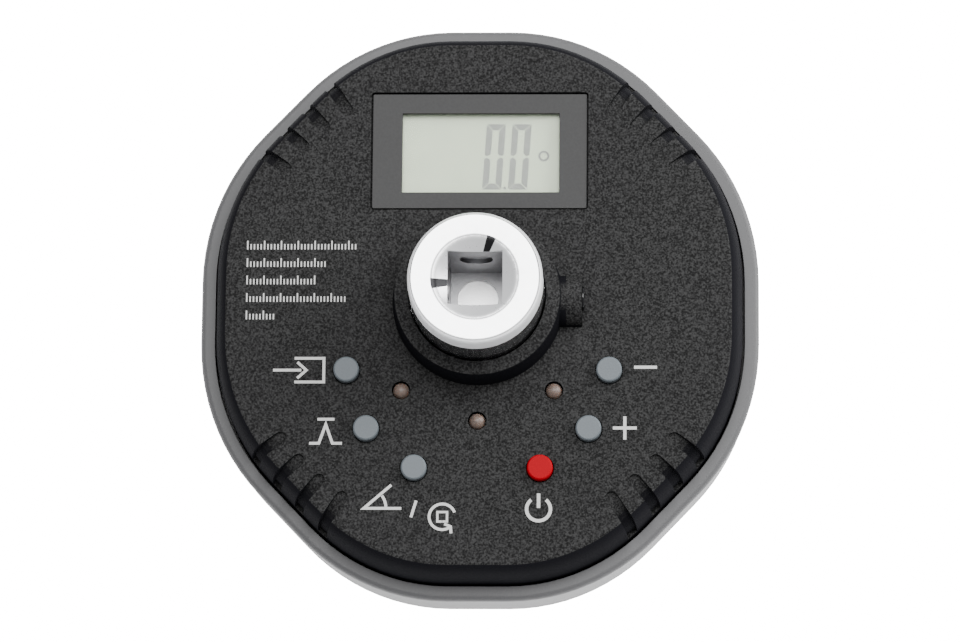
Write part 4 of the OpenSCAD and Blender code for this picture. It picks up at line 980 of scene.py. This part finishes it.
def power_mark(bm, line):
    """An open ring and a bar: on and off."""
    centre, radius, width = (10.9, -37.5), 2.1, line * 1.2
    arc(bm, centre, radius, width, 128, 284)
    stroke(bm, [(centre[0], centre[1] + 0.2), (centre[0], centre[1] + 2.8)], width)


def plus_mark(bm, line):
    """A plus as one outline, so that its arms don't lie over each other."""
    centre, arm, half = Vector((26.0, -22.9)), 2.1, line * 0.55
    quarter = [(half, arm), (half, half), (arm, half), (arm, -half)]
    outline = []
    for turn in range(4):
        swing = Matrix.Rotation(-turn * math.pi / 2, 2)
        outline += [(centre + swing @ Vector(p)) * MM for p in quarter[:3]]
    plate(bm, outline, PRINT_LOW, PRINT_HIGH)


def minus_mark(bm, line):
    """A plain bar."""
    left, right, level = 27.6, 31.65, -11.9
    stroke(bm, [(left, level), (right, level)], line * 1.1)


def ruler_rows(bm, line):
    """Five rows of plain ticks, with every fifth one taller, in lines thinner than line."""
    left, pitch, tall, short, drop = -41.1, 0.6, 1.6, 1.0, 0.8
    for middle, right in ((10.4, -20.9), (7.2, -26.3), (4.0, -28.0), (0.8, -22.7), (-2.4, -35.6)):
        for index in range(int((right - left) / pitch)):
            x, foot = left + index * pitch, middle - drop
            height = tall if index % 5 == 0 else short
            stroke(bm, [(x, foot), (x, foot + height)], line / 2)


MARKS = {
    "memory_mark": memory_mark,
    "peak_mark": peak_mark,
    "mode_mark": mode_mark,
    "power_mark": power_mark,
    "plus_mark": plus_mark,
    "minus_mark": minus_mark,
    "ruler_rows": ruler_rows,
}


def softbox(name, place, aim, width, height, power):
    """A soft rectangular light at place that points at aim."""
    light = bpy.data.lights.new(name, "AREA")
    light.shape = "RECTANGLE"
    light.size = width
    light.size_y = height
    light.energy = power
    lamp = bpy.data.objects.new(name, light)
    bpy.context.scene.collection.objects.link(lamp)
    lamp.matrix_world = Matrix.Translation(place) @ (
        (Vector(aim) - Vector(place)).to_track_quat("-Z", "Y").to_matrix().to_4x4()
    )


class ADAPTER_OT_stage(bpy.types.Operator):
    """Set the floor, the soft lights and the camera at the photograph's angle"""
    bl_idname = "adapter.stage"
    bl_label = "Stage"

    def execute(self, context):
        settings = context.scene.adapter_stage
        bm = bmesh.new()
        bmesh.ops.create_grid(bm, x_segments=8, y_segments=8, size=3.0)
        mesh = bpy.data.meshes.new("studio_floor")
        bm.to_mesh(mesh)
        bm.free()
        floor = bpy.data.objects.new("studio_floor", mesh)
        context.scene.collection.objects.link(floor)
        mesh.materials.append(shot_floor(settings))

        world = bpy.data.worlds.new("studio_room")
        context.scene.world = world
        world.use_nodes = True
        back = world.node_tree.nodes["Background"]
        back.inputs["Color"].default_value = linear("F4F4F6")
        back.inputs["Strength"].default_value = settings.world_light

        centre = Vector((0, 0, 30 * MM))
        softbox(
            "top_light", place=(0.1, 0.36, 1.3), aim=centre, width=1.0, height=0.8,
            power=settings.top_power,
        )
        softbox(
            "side_light", place=(0.9, 0.45, 0.55), aim=centre, width=0.7, height=0.5,
            power=settings.side_power,
        )

        # Camera: tilted 14 degrees towards the object's lower side and 2 degrees to its right
        distance = 1.0
        tilt, aside = math.radians(14.0), math.radians(2.05)
        back_way = Vector((math.sin(aside), -math.sin(tilt), 0))
        back_way.z = math.sqrt(1 - back_way.length_squared)
        right = (Vector((1, 0, 0)) - back_way.x * back_way).normalized()
        upward = back_way.cross(right)
        camera_data = bpy.data.cameras.new("photo_camera")
        camera_data.sensor_width = 36.0
        pixels_per_metre = 5570.0
        frame_pixels = 960.0
        camera_data.lens = pixels_per_metre * distance / frame_pixels * camera_data.sensor_width
        camera_data.clip_end = 20.0
        camera = bpy.data.objects.new("photo_camera", camera_data)
        context.scene.collection.objects.link(camera)
        place = centre + distance * back_way - right * (1 / pixels_per_metre)
        camera.matrix_world = Matrix((
            (right.x, upward.x, back_way.x, place.x),
            (right.y, upward.y, back_way.y, place.y),
            (right.z, upward.z, back_way.z, place.z),
            (0, 0, 0, 1),
        ))
        context.scene.camera = camera
        return {"FINISHED"}


class ADAPTER_PT_panel(bpy.types.Panel):
    bl_label = "Adapter"
    bl_idname = "ADAPTER_PT_panel"
    bl_space_type = "VIEW_3D"
    bl_region_type = "UI"
    bl_category = "Adapter"

    def draw(self, context):
        for operator in OPERATORS:
            self.layout.operator(operator.bl_idname)


OPERATORS = (
    ADAPTER_OT_housing, ADAPTER_OT_drive, ADAPTER_OT_display, ADAPTER_OT_controls,
    ADAPTER_OT_inside, ADAPTER_OT_printing, ADAPTER_OT_stage,
)
SETTINGS = {
    "adapter_housing": HousingSettings,
    "adapter_controls": ControlSettings,
    "adapter_display": DisplaySettings,
    "adapter_inside": InsideSettings,
    "adapter_printing": PrintSettings,
    "adapter_stage": StageSettings,
}


def register():
    for group in SETTINGS.values():
        bpy.utils.register_class(group)
    for operator in OPERATORS:
        bpy.utils.register_class(operator)
    bpy.utils.register_class(ADAPTER_PT_panel)
    for name, group in SETTINGS.items():
        setattr(bpy.types.Scene, name, PointerProperty(type=group))


def unregister():
    for name in SETTINGS:
        delattr(bpy.types.Scene, name)
    bpy.utils.unregister_class(ADAPTER_PT_panel)
    for group in (*reversed(OPERATORS), *reversed(tuple(SETTINGS.values()))):
        bpy.utils.unregister_class(group)


def main():
    register()
    for operator in OPERATORS:
        group, name = operator.bl_idname.split(".")
        getattr(getattr(bpy.ops, group), name)()


if __name__ == "__main__":
    main()
